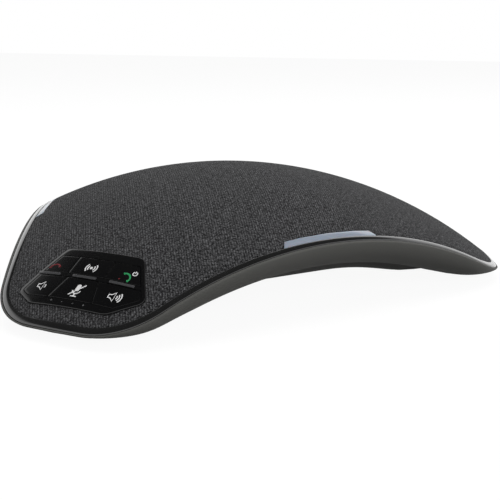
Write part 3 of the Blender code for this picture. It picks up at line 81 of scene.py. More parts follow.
bpy.context.scene.camera = camera
bpy.context.scene.view_settings.view_transform = "Standard"


class Wire:
    """A shader socket. Sums on wires add Math nodes, and node() adds any other node."""

    def __init__(self, tree, socket=None):
        self.tree = tree
        self.socket = socket

    def node(self, kind, settings=None, inputs=None, out=0):
        made = self.tree.nodes.new("ShaderNode" + kind)
        for key, value in (settings or {}).items():
            setattr(made, key, value)
        for key, value in (inputs or {}).items():
            if isinstance(value, Wire):
                self.tree.links.new(value.socket, made.inputs[key])
            else:
                made.inputs[key].default_value = value
        return Wire(self.tree, made.outputs[out])

    def math(self, operation, first, second=0.0, clamp=False):
        return self.node("Math", {"operation": operation, "use_clamp": clamp}, {0: first, 1: second})

    def __add__(self, other):
        return self.math("ADD", self, other)

    def __sub__(self, other):
        return self.math("SUBTRACT", self, other)

    def __rsub__(self, other):
        return self.math("SUBTRACT", other, self)

    def __mul__(self, other):
        return self.math("MULTIPLY", self, other)


def finish_named(name, **constants):
    """A new material: its wire, with the constants on the shader's own sockets."""
    material = bpy.data.materials.new(name)
    material.use_nodes = True
    shader = material.node_tree.nodes["Principled BSDF"]
    for key, value in constants.items():
        shader.inputs[key.replace("_", " ")].default_value = value
    wire = Wire(material.node_tree)
    wire.material = material
    wire.shader = shader
    return wire


def mix(wire, factor, dark, light):
    """A colour between two, by a factor."""
    return wire.node("Mix", {"data_type": "RGBA"}, {0: factor, 6: (*dark, 1), 7: (*light, 1)}, out=2)


def set_up(wire, **links):
    """Join wires to the shader's sockets."""
    for key, value in links.items():
        wire.tree.links.new(value.socket, wire.shader.inputs[key.replace("_", " ")])


def bump(wire, height, strength, distance):
    return wire.node("Bump", inputs={"Strength": strength, "Distance": distance, "Height": height})


def own_coordinates(wire):
    return wire.node("TexCoord", out=3)


paper = bpy.data.materials.new("white_paper")
paper.use_nodes = True
paper_wire = Wire(paper.node_tree)
paper.node_tree.nodes.remove(paper.node_tree.nodes["Principled BSDF"])
seen = paper_wire.node("LightPath", out=0)
mirrored = paper_wire.node("LightPath", out=3)
through = paper_wire.node("LightPath", out=4)


def paper_white(glow, reflected):
    """Paper that glows a little and returns light for the rest, so that shadows still show on it."""
    lit = paper_wire.node("Emission", inputs={"Color": (1, 1, 1, 1), "Strength": glow})
    shaded = paper_wire.node("BsdfDiffuse", inputs={"Color": (reflected, reflected, reflected, 1)})
    return paper_wire.node("AddShader", inputs={0: lit, 1: shaded})


to_light, to_mirrors, to_camera = paper_white(0.0, 0.15), paper_white(0.15, 0.8), paper_white(0.93, 0.10)
unseen = paper_wire.node("MixShader", inputs={0: mirrored, 1: to_light, 2: to_mirrors})
in_view = paper_wire.math("ADD", seen, through, clamp=True)
whole = paper_wire.node("MixShader", inputs={0: in_view, 1: unseen, 2: to_camera})
paper.node_tree.links.new(whole.socket, paper.node_tree.nodes["Material Output"].inputs["Surface"])

bpy.ops.object.select_all(action="DESELECT")
bpy.ops.mesh.primitive_plane_add(size=6, location=(0, 0, -0.0003))
table_top = bpy.context.object
table_top.name = "table_top"
table_top.data.materials.append(paper)

SKY_EDGE, SKY_FADE, SKY_DARK, FILL_LIGHT = 0.65, 11.0, 0.05, 0.28
world = bpy.data.worlds.new("studio")
bpy.context.scene.world = world
world.use_nodes = True
air = Wire(world.node_tree)
sky = world.node_tree.nodes["Background"]
sky.inputs["Color"].default_value = (1, 1, 1, 1)
camera_ray = air.node("LightPath", out=0)
glossy_ray = air.node("LightPath", out=3)
upward = air.node("SeparateXYZ", inputs={0: air.node("TexCoord", out=0)}, out=2)
backdrop = air.math("MULTIPLY", SKY_EDGE - upward, SKY_FADE, clamp=True)
mirrored_sky = backdrop * (1 - SKY_DARK) + SKY_DARK
plain_light = glossy_ray * (mirrored_sky - FILL_LIGHT) + FILL_LIGHT
world.node_tree.links.new((camera_ray * (1 - plain_light) + plain_light).socket, sky.inputs["Strength"])


def lamp(name, place, aim, size, watts):
    """A soft square lamp that faces a point, and that shows in no reflection."""
    light = bpy.data.objects.new(name, bpy.data.lights.new(name, "AREA"))
    light.data.shape = "RECTANGLE"
    light.data.size, light.data.size_y = size
    light.data.energy = watts
    light.location = place
    light.rotation_mode = "QUATERNION"
    light.rotation_quaternion = (Vector(aim) - Vector(place)).to_track_quat("-Z", "Y")
    light.visible_glossy = False
    bpy.context.scene.collection.objects.link(light)


lamp("top_lamp", (-0.1, 0.3, 1.3), (0, 0, 0), (1.4, 1.4), 12.5)
lamp("front_lamp", (1.4, -0.75, 0.6), (0, 0, 0), (1.0, 0.8), 13)
lamp("rear_lamp", (0.9, 1.3, 0.5), (0.05, 0.05, 0), (1.0, 0.6), 4)

# ---- Base shell
# One moulding of matte charcoal ABS with a fine spark texture: a flat belly, a keel down each arm and arched
# sides that curl out to the rim. The dome's frame is screwed down into it from underneath.
REACH, SIDE_REACH, END_RADIUS, CORNER_RADIUS = 0.133, 0.0916, 0.171, 0.0325
DOME_RADIUS, CROWN = 0.215493, 0.054
TRIM_WIDTH, TRIM_SEAT_DEPTH, RIM_OUT, GAP = 0.0026, 0.0013, 0.00315, 0.0003
SHELF_DEPTH, SHELF_WIDTH, FLOOR_THICKNESS, WALL_THICKNESS = 0.0033, 0.0024, 0.0024, 0.0030
BELLY_REACH, BELLY_HEIGHT, KEEL_SETBACK, KEEL_LENGTH, KEEL_FALL = 0.0576, 0.0095, 0.0713, 0.0327, 0.0067
ARCH_RISE, ARCH_SETBACK, ARCH_POWER, ARCH_BLEND, TIP_HEIGHT = 0.0255, 0.0281, 2.5, 0.0054, 0.0028
SIDE_TUCK, TUCK_LOSS, FARTHEST_EDGE, TUCK_SHARE = 0.018, 0.010, 0.13314, 0.13
BOSS_SHARE, HEAD_SHARE = 0.5, 0.35
BULGE, BULGE_RISE, LIP_SLACK, SHOULDER_SHARE, INNER_SHARE = 0.0010, 0.0135, 0.0001, 0.05, 0.25
CORNER_STEPS, END_STEPS, SIDE_STEPS = 14, 8, 44
FLOOR_START, FLOOR_RINGS, WALL_RINGS, CURL_RINGS, INNER_RINGS = 0.30, 18, 14, 4, 10
ARM_ANGLES = {"front": -90, "right": 30, "left": 150}
SIDE_ANGLES = (-30, 90, 210)


def smooth_step(value):
    value = min(max(value, 0.0), 1.0)
    return value * value * (3 - 2 * value)


def dome_height(x, y):
    """Height of the cloth over the table; x and y are measured from the middle of the three arms."""
    return CROWN - DOME_RADIUS + math.sqrt(DOME_RADIUS ** 2 - x * x - y * y)


def under_height(x, y):
    """Height of the underside: the belly, the keels along the arms and the arches between them."""
    reach = math.hypot(x, y)
    side = max(x * math.cos(math.radians(a)) + y * math.sin(math.radians(a)) for a in SIDE_ANGLES)
    keel = smooth_step((reach - REACH + KEEL_SETBACK) / KEEL_LENGTH)
    low = BELLY_HEIGHT - keel * KEEL_FALL
    fall = ARCH_RISE * (1 - (reach / (REACH - ARCH_SETBACK)) ** ARCH_POWER)
    arch = TIP_HEIGHT + (fall + math.sqrt(fall ** 2 + ARCH_BLEND ** 2)) / 2
    return low + smooth_step((side - BELLY_REACH) / (SIDE_REACH - SIDE_TUCK - BELLY_REACH)) * (arch - low)


def edge_line():
    """Points and outward normals round the cloth's edge: bowed arm ends, round corners, straight sides."""
    inner = SIDE_REACH - CORNER_RADIUS
    back = END_RADIUS - REACH
    sine = math.sqrt(0.75)
    slide = math.sqrt((back * sine) ** 2 - inner ** 2 - inner * back - back ** 2
                      + (END_RADIUS - CORNER_RADIUS) ** 2) - back * sine
    corner = Vector((inner / 2 + slide * sine, inner * sine - slide / 2))
    tilt = math.atan2(corner.y, corner.x + back)
    turn = math.radians(60)
    line = []
    for arm_angle in ARM_ANGLES.values():
        spin = Matrix.Rotation(math.radians(arm_angle), 2)
        for k in range(CORNER_STEPS + 1):
            angle = -turn + (turn - tilt) * k / CORNER_STEPS
            out = Vector((math.cos(angle), math.sin(angle)))
            line.append((spin @ (Vector((corner.x, -corner.y)) + out * CORNER_RADIUS), spin @ out))
        for k in range(1, END_STEPS):
            angle = tilt * (2 * k / END_STEPS - 1)
            out = Vector((math.cos(angle), math.sin(angle)))
            line.append((spin @ (out * END_RADIUS - Vector((back, 0))), spin @ out))
        for k in range(CORNER_STEPS + 1):
            angle = tilt + (turn - tilt) * k / CORNER_STEPS
            out = Vector((math.cos(angle), math.sin(angle)))
            line.append((spin @ (corner + out * CORNER_RADIUS), spin @ out))
        for k in range(1, SIDE_STEPS):
            along = slide * (1 - 2 * k / SIDE_STEPS)
            out = Vector((0.5, sine))
            middle = Vector((SIDE_REACH / 2 + along * sine, SIDE_REACH * sine - along / 2))
            line.append((spin @ middle, spin @ out))
    return line


EDGE = edge_line()


def loop_on_dome(offset, depth):
    """The edge line moved outwards and laid on the dome, as points in the object's own frame."""
    loop = []
    for point, normal in EDGE:
        x, y = point + normal * offset
        loop.append(Vector((x, y, dome_height(x, y) - depth)) + ARMS_CENTRE)
    return loop


def tuck(point):
    """How far the lower edge lies inside the cloth's edge: deep at the sides, shallow at the arm ends."""
    return SIDE_TUCK - TUCK_LOSS * smooth_step((point.length - FARTHEST_EDGE) / (TUCK_SHARE * REACH) + 1)


def wall_loop(angle, curl=0.0):
    """A loop of the outer wall, from its foot at 90 degrees to its shoulder at 0, then curled to the rim."""
    loop = []
    for point, normal in EDGE:
        low = under_height(*(point - normal * tuck(point)))
        rim = dome_height(*(point + normal * RIM_OUT)) - GAP
        bulge = BULGE * (rim - low) / BULGE_RISE
        top = rim - SHOULDER_SHARE * (rim - low)
        run = RIM_OUT + bulge + tuck(point)
        out = RIM_OUT + bulge - run * (1 - math.cos(angle)) - (bulge + LIP_SLACK) * (1 - math.cos(curl))
        x, y = point + normal * out
        loop.append(Vector((x, y, top - (top - low) * math.sin(angle) + (rim - top) * math.sin(curl)))
                    + ARMS_CENTRE)
    return loop


def inner_loop(angle):
    """A loop of the inner wall, from the shelf at 0 degrees to the floor at 90."""
    loop = []
    for point, normal in EDGE:
        low = under_height(*(point - normal * (tuck(point) + WALL_THICKNESS))) + FLOOR_THICKNESS
        shelf = dome_height(*(point - normal * SHELF_WIDTH)) - SHELF_DEPTH
        top = shelf - INNER_SHARE * (shelf - low)
        run = tuck(point) + WALL_THICKNESS - SHELF_WIDTH
        x, y = point - normal * (SHELF_WIDTH + run * (1 - math.cos(angle)))
        loop.append(Vector((x, y, top - (top - low) * math.sin(angle))) + ARMS_CENTRE)
    return loop


def floor_loop(share, inset, rise):
    """A loop of the floor: a share of the lower edge, laid on the underside or some height over it."""
    loop = []
    for point, normal in EDGE:
        x, y = (point - normal * (tuck(point) + inset)) * share
        loop.append(Vector((x, y, under_height(x, y) + rise)) + ARMS_CENTRE)
    return loop


def start_ring(name, loop):
    """A circle primitive shaped to the first loop, left in edit mode with that loop selected."""
    bpy.ops.object.select_all(action="DESELECT")
    bpy.ops.mesh.primitive_circle_add(vertices=len(loop), radius=0.1)
    piece = bpy.context.object
    piece.name = name
    for vertex, point in zip(piece.data.vertices, loop):
        vertex.co = point
    bpy.ops.object.mode_set(mode="EDIT")
    bpy.ops.mesh.select_all(action="SELECT")
    return piece


def next_ring(piece, loop):
    """Extrude the selected loop and lay it on the next one."""
    bpy.ops.mesh.extrude_edges_move()
    mesh = bmesh.from_edit_mesh(piece.data)
    mesh.verts.ensure_lookup_table()
    for vertex, point in zip(mesh.verts[-len(loop):], loop):
        vertex.co = point
    bmesh.update_edit_mesh(piece.data)


def close_shell(piece, ends=False):
    """Leave edit mode with doubles merged, faces outwards and, where asked, both open ends filled."""
    if ends:
        bpy.ops.mesh.edge_face_add()
        bpy.ops.mesh.select_all(action="DESELECT")
        bpy.ops.mesh.select_mode(type="EDGE")
        bpy.ops.mesh.select_non_manifold(extend=False, use_wire=False, use_multi_face=False,
                                         use_non_contiguous=False, use_verts=False)
        bpy.ops.mesh.edge_face_add()
        bpy.ops.mesh.select_mode(type="VERT")
    bpy.ops.mesh.select_all(action="SELECT")
    bpy.ops.mesh.remove_doubles(threshold=1e-6)
    bpy.ops.mesh.normals_make_consistent(inside=False)
    bpy.ops.object.mode_set(mode="OBJECT")


def boolean(piece, other, operation="DIFFERENCE"):
    """Cut one closed shape out of another, or join them, and drop the second."""
    bpy.ops.object.select_all(action="DESELECT")
    bpy.context.view_layer.objects.active = piece
    piece.select_set(True)
    knife = piece.modifiers.new("cut", "BOOLEAN")
    knife.operation = operation
    knife.solver = "EXACT"
    knife.object = other
    bpy.ops.object.modifier_apply(modifier="cut")
    bpy.data.objects.remove(other, do_unlink=True)


def joined(pieces):
    """Several separate shapes as one object."""
    bpy.ops.object.select_all(action="DESELECT")
    for piece in pieces:
        piece.select_set(True)
    bpy.context.view_layer.objects.active = pieces[0]
    if len(pieces) > 1:
        bpy.ops.object.join()
    return bpy.context.object


def flat_cutter(name, outline, low, high, matrix=Matrix.Identity(4)):
    """A filled outline raised to a block, in some plane."""
    bpy.ops.object.select_all(action="DESELECT")
    bpy.ops.mesh.primitive_circle_add(vertices=len(outline), radius=0.1, fill_type="NGON")
    cutter = bpy.context.object
    cutter.name = name
    for vertex, (x, y) in zip(cutter.data.vertices, outline):
        vertex.co = (x, y, low)
    bpy.ops.object.mode_set(mode="EDIT")
    bpy.ops.mesh.select_all(action="SELECT")
    bpy.ops.mesh.extrude_region_move(TRANSFORM_OT_translate={"value": (0, 0, high - low)})
    bpy.ops.mesh.select_all(action="SELECT")
    bpy.ops.mesh.normals_make_consistent(inside=False)
    bpy.ops.object.mode_set(mode="OBJECT")
    cutter.data.transform(matrix)
    return cutter


def rounded_outline(corners, steps=8):
    """A counterclockwise polygon from corners given as x, y and corner radius."""
    line = []
    for k, (x, y, radius) in enumerate(corners):
        here = Vector((x, y))
        before = (Vector(corners[k - 1][:2]) - here).normalized()
        after = (Vector(corners[(k + 1) % len(corners)][:2]) - here).normalized()
        half = before.angle(after) / 2
        middle = here + (before + after).normalized() * radius / math.sin(half)
        first = here + before * radius / math.tan(half) - middle
        for step in range(steps + 1):
            line.append(tuple(middle + Matrix.Rotation((math.pi - 2 * half) * step / steps, 2) @ first))
    return line


def rounded_rectangle(half_x, half_y, radius, x=0.0, y=0.0, steps=6):
    return rounded_outline([(x + half_x, y - half_y, radius), (x + half_x, y + half_y, radius),
                            (x - half_x, y + half_y, radius), (x - half_x, y - half_y, radius)], steps)


def round_outline(x, y, radius, steps=28):
    return [(x + radius * math.cos(2 * math.pi * k / steps), y + radius * math.sin(2 * math.pi * k / steps))
            for k in range(steps)]


def arm_frame(angle):
    """A frame with X along an arm, from the middle of the three arms."""
    return Matrix.Translation(ARMS_CENTRE) @ Matrix.Rotation(math.radians(angle), 4, "Z")


def posts(name, places, radius, top, low=None):
    """Round posts or drills, each from inside the floor, or from a height, up to a height."""
    made = []
    for angle, along, aside in places:
        x, y = Matrix.Rotation(math.radians(angle), 2) @ Vector((along, aside))
        foot = under_height(x, y) + FLOOR_THICKNESS / 2 if low is None else low
        high = top(x, y) if callable(top) else top
        made.append(flat_cutter(name, round_outline(along, aside, radius), foot, high, arm_frame(angle)))
    return joined(made)


def boss_top(x, y):
    floor = under_height(x, y) + FLOOR_THICKNESS
    return floor + (dome_height(x, y) - SHELF_DEPTH - floor) * BOSS_SHARE


def screw_seat(x, y):
    floor = under_height(x, y) + FLOOR_THICKNESS
    return floor + (boss_top(x, y) - floor) * HEAD_SHARE


def body_of_node(node):
    return next(body for body, members in frame["record"]["behaviour"]["bodies"].items() if node in members)


GRAIN_DEPTH = 0.00001


def moulded(name, dark, light, roughness, grain):
    """Textured plastic: a fine eroded grain, faint cloudiness and a little uneven gloss."""
    wire = finish_named(name, IOR=1.5, Specular_IOR_Level=0.18)
    place = own_coordinates(wire)
    cloud = wire.node("TexNoise", inputs={"Vector": place, "Scale": 40.0, "Detail": 3.0})
    spark = wire.node("TexNoise", inputs={"Vector": place, "Scale": grain, "Detail": 2.0})
    set_up(wire, Base_Color=mix(wire, cloud * 0.5 + spark * 0.5, dark, light),
           Roughness=cloud * 0.10 + (roughness - 0.05), Normal=bump(wire, spark, 0.25, GRAIN_DEPTH))
    return wire


floor_shares = [FLOOR_START + (1 - FLOOR_START) * k / FLOOR_RINGS for k in range(FLOOR_RINGS)]
shell = start_ring("base_shell", floor_loop(floor_shares[0], 0, 0))
for share in floor_shares[1:]:
    next_ring(shell, floor_loop(share, 0, 0))
for step in range(WALL_RINGS, -1, -1):
    next_ring(shell, wall_loop(math.radians(90 * step / WALL_RINGS)))
for step in range(1, CURL_RINGS + 1):
    next_ring(shell, wall_loop(0, math.radians(90 * step / CURL_RINGS)))
SEAT_OUT, SEAT_CHAMFER = TRIM_WIDTH + 0.0002, 0.00008
trim_seat = [(SEAT_OUT + SEAT_CHAMFER, GAP), (SEAT_OUT, GAP + SEAT_CHAMFER), (SEAT_OUT, TRIM_SEAT_DEPTH),
             (0, TRIM_SEAT_DEPTH), (0, SHELF_DEPTH), (-SHELF_WIDTH, SHELF_DEPTH)]
for offset, depth in trim_seat:
    next_ring(shell, loop_on_dome(offset, depth))
for step in range(INNER_RINGS + 1):
    next_ring(shell, inner_loop(math.radians(90 * step / INNER_RINGS)))
for share in floor_shares[::-3]:
    next_ring(shell, floor_loop(share, WALL_THICKNESS, FLOOR_THICKNESS))
close_shell(shell, ends=True)

# Places along and beside an arm, from the middle of the three arms.
BOSSES = [(angle, 0.080, 0.0265) for angle in ARM_ANGLES.values()]
BOX_POSTS = [(angle, 0.06011, 0.0) for angle in ARM_ANGLES.values()]
BOARD_POSTS = [(ARM_ANGLES["left"], x, y) for x in (0.09951, 0.07151) for y in (0.0165, -0.0165)]
COVER_SCREWS = [(angle, 0.04644, 0.0) for angle in ARM_ANGLES.values()]
BOSS_RADIUS, BOARD_POST_RADIUS, HEAD_RADIUS, BORE_RADIUS = 0.0038, 0.0028, 0.0028, 0.0014
BOX_POST_TOP, BOARD_POST_TOP, BATTERY_TOP, COVER_TOP, FOOT_TOP = 0.0237, 0.0147, 0.0143, 0.0110, 0.0044
BOX_BORE_FOOT, BOARD_BORE_FOOT, COVER_BORE_TOP = 0.0119, 0.0105, 0.0160
COVER_SHARE, SOCKET_HEIGHT, SOCKET_OUT, SOCKET_IN = 0.40, 0.026762, 0.101, 0.081
level = Matrix.Translation(ARMS_CENTRE)
boolean(shell, posts("screw_bosses", BOSSES, BOSS_RADIUS, boss_top), "UNION")
boolean(shell, posts("chamber_posts", BOX_POSTS, BOSS_RADIUS, BOX_POST_TOP), "UNION")
boolean(shell, posts("board_posts", BOARD_POSTS, BOARD_POST_RADIUS, BOARD_POST_TOP), "UNION")
battery_plan = rounded_rectangle(0.0303, 0.0173, 0.003, y=0.0145)
boolean(shell, flat_cutter("battery_opening", battery_plan, 0, BATTERY_TOP, level))
cover_edge = [tuple(point * COVER_SHARE + normal * GAP) for point, normal in EDGE[::2]]
boolean(shell, flat_cutter("cover_rebate", cover_edge, 0, COVER_TOP, level))
foot_plan = rounded_rectangle(0.0053, 0.0083, 0.0045, x=0.110)
socket_plan = rounded_rectangle(0.0048, 0.0019, 0.00175)
rearward = (Matrix.Translation(ARMS_CENTRE + Vector((0, 0, SOCKET_HEIGHT)))
            @ Matrix.Rotation(math.radians(90), 4, "X"))
boolean(shell, joined([posts("screw_recess", BOSSES, HEAD_RADIUS, screw_seat, 0.0)]
                      + [flat_cutter("foot_pocket", foot_plan, -0.001, FOOT_TOP, arm_frame(angle))
                         for angle in ARM_ANGLES.values()]
                      + [flat_cutter("socket_slot", socket_plan, -SOCKET_OUT, -SOCKET_IN, rearward)]))
boolean(shell, joined([posts("boss_bores", BOSSES, BORE_RADIUS, CROWN, 0.0),
                       posts("post_bores", BOX_POSTS, BORE_RADIUS, CROWN, BOX_BORE_FOOT),
                       posts("cover_bores", COVER_SCREWS, BORE_RADIUS, COVER_BORE_TOP, 0.0),
                       posts("board_bores", BOARD_POSTS, BORE_RADIUS, CROWN, BOARD_BORE_FOOT)]))
bpy.ops.object.shade_smooth_by_angle(angle=math.radians(32))
base_paint = moulded("spark_textured_charcoal", (0.078, 0.078, 0.0735), (0.102, 0.102, 0.096), 0.60, 4000.0)


def finished(piece, paint, body, slot, *nodes):
    """Give a piece its paint, the body it rides on and the nodes it stands for; the slot is not used."""
    piece.data.materials.clear()
    piece.data.materials.append(paint.material)
    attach(piece, body)
    if nodes:
        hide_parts(*nodes)


finished(shell, base_paint, "base", "matte_grey", "lower_housing")


def merged_copy(name, node, slot, paint, smooth_angle, bevel=0.0):
    """A copy of a CAD node in its place: points merged, edges softened, smooth shaded."""
    bpy.ops.object.select_all(action="DESELECT")
    source = frame["nodes"][node]
    source.select_set(True)
    bpy.context.view_layer.objects.active = source
    bpy.ops.object.duplicate()
    piece = bpy.context.object
    piece.name = name
    bpy.ops.object.parent_clear(type="CLEAR_KEEP_TRANSFORM")
    for key in [key for key in piece.keys() if key.startswith("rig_")]:
        del piece[key]
    bpy.ops.object.mode_set(mode="EDIT")
    bpy.ops.mesh.select_all(action="SELECT")
    bpy.ops.mesh.remove_doubles(threshold=2e-6)
    bpy.ops.mesh.tris_convert_to_quads(face_threshold=math.radians(2), shape_threshold=math.radians(60))
    bpy.ops.object.mode_set(mode="OBJECT")
    if bevel:
        soften = piece.modifiers.new("soft_edges", "BEVEL")
        soften.width = bevel
        soften.segments = 2
        soften.limit_method = "ANGLE"
        soften.angle_limit = math.radians(40)
        bpy.ops.object.modifier_apply(modifier="soft_edges")
    bpy.ops.object.shade_smooth_by_angle(angle=math.radians(smooth_angle))
    finished(piece, paint, body_of_node(node), slot, node)
    return piece


merged_copy("service_cover", "bottom_cover", "matte_grey", base_paint, 30.0, 0.0002)

# ---- Feet
# Soft black rubber pads with rounded edges and a lightly ribbed sole. They are glued in shallow pockets under
# the three arm ends, and the object rests on them.
foot_paint = finish_named("ribbed_rubber", IOR=1.45)
foot_place = own_coordinates(foot_paint)
ribs = foot_paint.node("TexWave", {"wave_type": "BANDS", "bands_direction": "X"},
                       {"Vector": foot_place, "Scale": 180.0, "Distortion": 0.0})
dust = foot_paint.node("TexNoise", inputs={"Vector": foot_place, "Scale": 900.0, "Detail": 3.0})
set_up(foot_paint, Base_Color=mix(foot_paint, dust, (0.014, 0.014, 0.014), (0.035, 0.035, 0.035)),
       Roughness=dust * 0.2 + 0.7, Normal=bump(foot_paint, ribs, 0.3, 0.0002))
for arm in ARM_ANGLES:
    merged_copy("rubber_foot_" + arm, "foot_" + arm, "black_rubber", foot_paint, 35.0, 0.0005)

# ---- Trim ring
# A thin polished black ring, crowned across its width and pressed into the rim's seat between cloth and base.
# The section's points are offsets from the cloth's edge and depths under the dome.
trim_paint = finish_named("polished_black", IOR=1.52, Coat_Weight=1.0, Coat_Roughness=0.04)
trim_place = own_coordinates(trim_paint)
haze = trim_paint.node("TexNoise", inputs={"Vector": trim_place, "Scale": 60.0, "Detail": 4.0})
set_up(trim_paint, Base_Color=mix(trim_paint, haze, (0.006, 0.006, 0.006), (0.012, 0.012, 0.012)),
       Roughness=haze * 0.08 + 0.12)
section = [(0.00022, 0.0009), (0.0, 0.0005), (0.00010, 0.00012), (0.0004, -0.00003), (0.0013, -0.00014),
           (0.0022, -0.00003), (0.0025, 0.00012), (0.0026, 0.0005), (0.0024, 0.0010)]
trim = start_ring("trim_band", loop_on_dome(*section[0]))
for offset, depth in section[1:] + section[:1]:
    next_ring(trim, loop_on_dome(offset, depth))
close_shell(trim)
bpy.ops.object.shade_smooth_by_angle(angle=math.radians(60))
finished(trim, trim_paint, "base", "gloss_black", "trim_ring")

# ---- Light bars
# Milky polycarbonate bars with slanted ends, lit by the small boards behind them. They are clipped into the rim
# in the middle of each side.
strip_paint = finish_named("milky_polycarbonate", IOR=1.58, Subsurface_Weight=0.15, Subsurface_Scale=0.002,
                           Coat_Weight=1.0, Coat_Roughness=0.12)
strip_place = own_coordinates(strip_paint)
milk = strip_paint.node("TexNoise", inputs={"Vector": strip_place, "Scale": 70.0, "Detail": 2.0})
set_up(strip_paint, Base_Color=mix(strip_paint, milk, (0.245, 0.285, 0.355), (0.305, 0.345, 0.42)),
       Roughness=milk * 0.1 + 0.28)
for side in ("right", "rear", "left"):
    merged_copy("light_bar_" + side, "light_strip_" + side, "milky_light", strip_paint, 40.0, 0.0003)

# ---- Dome cloth
# Charcoal heather knit, stretched over the perforated dome and tucked in at the ring. It is cut out round
# the key panel and the light bars.
WALE, COURSE, WALE_ANGLE, STITCH_SLANT = 0.00105, 0.00080, math.radians(-38), 0.0004
cloth_paint = finish_named("charcoal_heather_knit", Specular_IOR_Level=0.12, Sheen_Weight=0.06,
                           Sheen_Roughness=0.5)
cloth_place = cloth_paint.node("Mapping", inputs={"Vector": own_coordinates(cloth_paint),
                                                  "Rotation": (0, 0, WALE_ANGLE)})
cloth_x = cloth_paint.node("SeparateXYZ", inputs={0: cloth_place})
cloth_y = cloth_paint.node("SeparateXYZ", inputs={0: cloth_place}, out=1)
wander = cloth_paint.node("TexNoise", inputs={"Vector": cloth_place, "Scale": 500.0, "Detail": 2.0}) - 0.5
wale_phase = (cloth_x + wander * 0.0005) * (2 * math.pi / WALE)
wale = cloth_paint.math("COSINE", wale_phase) * 0.5 + 0.5
slant = cloth_paint.math("ABSOLUTE", cloth_paint.math("SINE", wale_phase * 0.5))
course_phase = (cloth_y + slant * STITCH_SLANT + wander * 0.0004) * (2 * math.pi / COURSE)
course = cloth_paint.math("COSINE", course_phase) * 0.5 + 0.5
stitch = wale * (course * 0.7 + 0.3)
yarn = cloth_paint.node("TexNoise", inputs={"Vector": cloth_place, "Scale": 1250.0, "Detail": 1.5,
                                            "Roughness": 0.7})
fleck = cloth_paint.math("POWER", cloth_paint.math("MULTIPLY", yarn - 0.34, 3.2, clamp=True), 1.4)
tone = cloth_paint.math("MULTIPLY", stitch * 0.60 + 0.22, fleck * 1.45 - 0.04, clamp=True)
set_up(cloth_paint, Base_Color=mix(cloth_paint, tone, (0.006, 0.006, 0.0065), (0.17, 0.17, 0.176)),
       Roughness=stitch * -0.1 + 0.95, Normal=bump(cloth_paint, stitch + yarn * 0.6, 0.7, 0.0003))

CLOTH_TURN, CLOTH_THICKNESS, EDGE_ROUNDING, DOME_RINGS = 0.0007, 0.0005, 0.0006, 26
cloth = start_ring("dome_cloth", loop_on_dome(-0.0003, CLOTH_TURN))
next_ring(cloth, loop_on_dome(-0.00005, CLOTH_TURN * 0.6))
next_ring(cloth, loop_on_dome(-0.0002, 0.00015))
for k in range(DOME_RINGS):
    share = 1 - k / DOME_RINGS
    loop = []
    for point, normal in EDGE:
        x, y = (point - normal * EDGE_ROUNDING) * share
        loop.append(Vector((x, y, dome_height(x, y))) + ARMS_CENTRE)
    next_ring(cloth, loop)
bpy.ops.mesh.merge(type="CENTER")
top = bmesh.from_edit_mesh(cloth.data)
next(vertex for vertex in top.verts if vertex.select).co = ARMS_CENTRE + Vector((0, 0, CROWN))
bmesh.update_edit_mesh(cloth.data)
close_shell(cloth)
backing = cloth.modifiers.new("backing", "SOLIDIFY")
backing.thickness = CLOTH_THICKNESS
backing.offset = -1
bpy.ops.object.modifier_apply(modifier="backing")

# The panel's plane touches the dome under the keys: X across the arm, Y up the slope, Z out.
PANEL_REACH = 0.114
PANEL = (Matrix.Translation(ARMS_CENTRE + Vector((0, -PANEL_REACH, dome_height(0, PANEL_REACH))))
         @ Matrix.Rotation(math.asin(PANEL_REACH / DOME_RADIUS), 4, "X"))
PANEL_CORNERS = [(0.0203, 0.0158, 0.0050), (-0.0190, 0.0154, 0.0030), (-0.0283, -0.0112, 0.0030),
                 (-0.0185, -0.0164, 0.0070), (0.0195, -0.0160, 0.0080), (0.0328, -0.0060, 0.0040)]
boolean(cloth, flat_cutter("panel_cut", rounded_outline(PANEL_CORNERS), -0.01, 0.01, PANEL))
BAR_NEAR, HALF_NEAR, BAR_FAR, HALF_FAR = SIDE_REACH - 0.0037, 0.0222, SIDE_REACH + 0.002, 0.0264
bar_plan = [(HALF_NEAR, BAR_NEAR), (-HALF_NEAR, BAR_NEAR), (-HALF_FAR, BAR_FAR), (HALF_FAR, BAR_FAR)]
for angle in SIDE_ANGLES:
    boolean(cloth, flat_cutter("bar_cut", bar_plan, 0.0, 0.06, arm_frame(angle - 90)))
bpy.ops.object.shade_smooth_by_angle(angle=math.radians(40))
finished(cloth, cloth_paint, "base", "charcoal_knit", "fabric_cover")

# ---- Key panel
# Near-black polycarbonate bezel with a soft gloss and a thin rounded edge. Three grey bars stand on the web
# between the two rows of keys, and four small holes in front of them let the lamps shine through.
PANEL_PROUD, PANEL_THICKNESS, WEB = 0.0008, 0.0023, 0.0009
WELL_INSET, ROW_ENDS = 0.0016, {"rear": 0.0110, "front": 0.0126}
CUT_LOW, CUT_HIGH = -0.006, 0.003
LAMP_PITCH, LAMP_ROW, LAMP_RADIUS, BAR_PITCH = 0.0054, -0.0139, 0.00045, 0.0185


def sag(x, y):
    """How far the dome lies under the panel's plane."""
    return DOME_RADIUS - math.sqrt(DOME_RADIUS ** 2 - x * x - y * y)


def shrunk(corners, inset):
    """Each side of a convex outline of rounded corners moved inwards."""
    result = []
    for k, (x, y, radius) in enumerate(corners):
        here = Vector((x, y))
        before = (Vector(corners[k - 1][:2]) - here).normalized()
        after = (Vector(corners[(k + 1) % len(corners)][:2]) - here).normalized()
        moved = here + (before + after).normalized() * inset / math.sin(before.angle(after) / 2)
        result.append((moved.x, moved.y, max(radius - inset, 0.0002)))
    return result


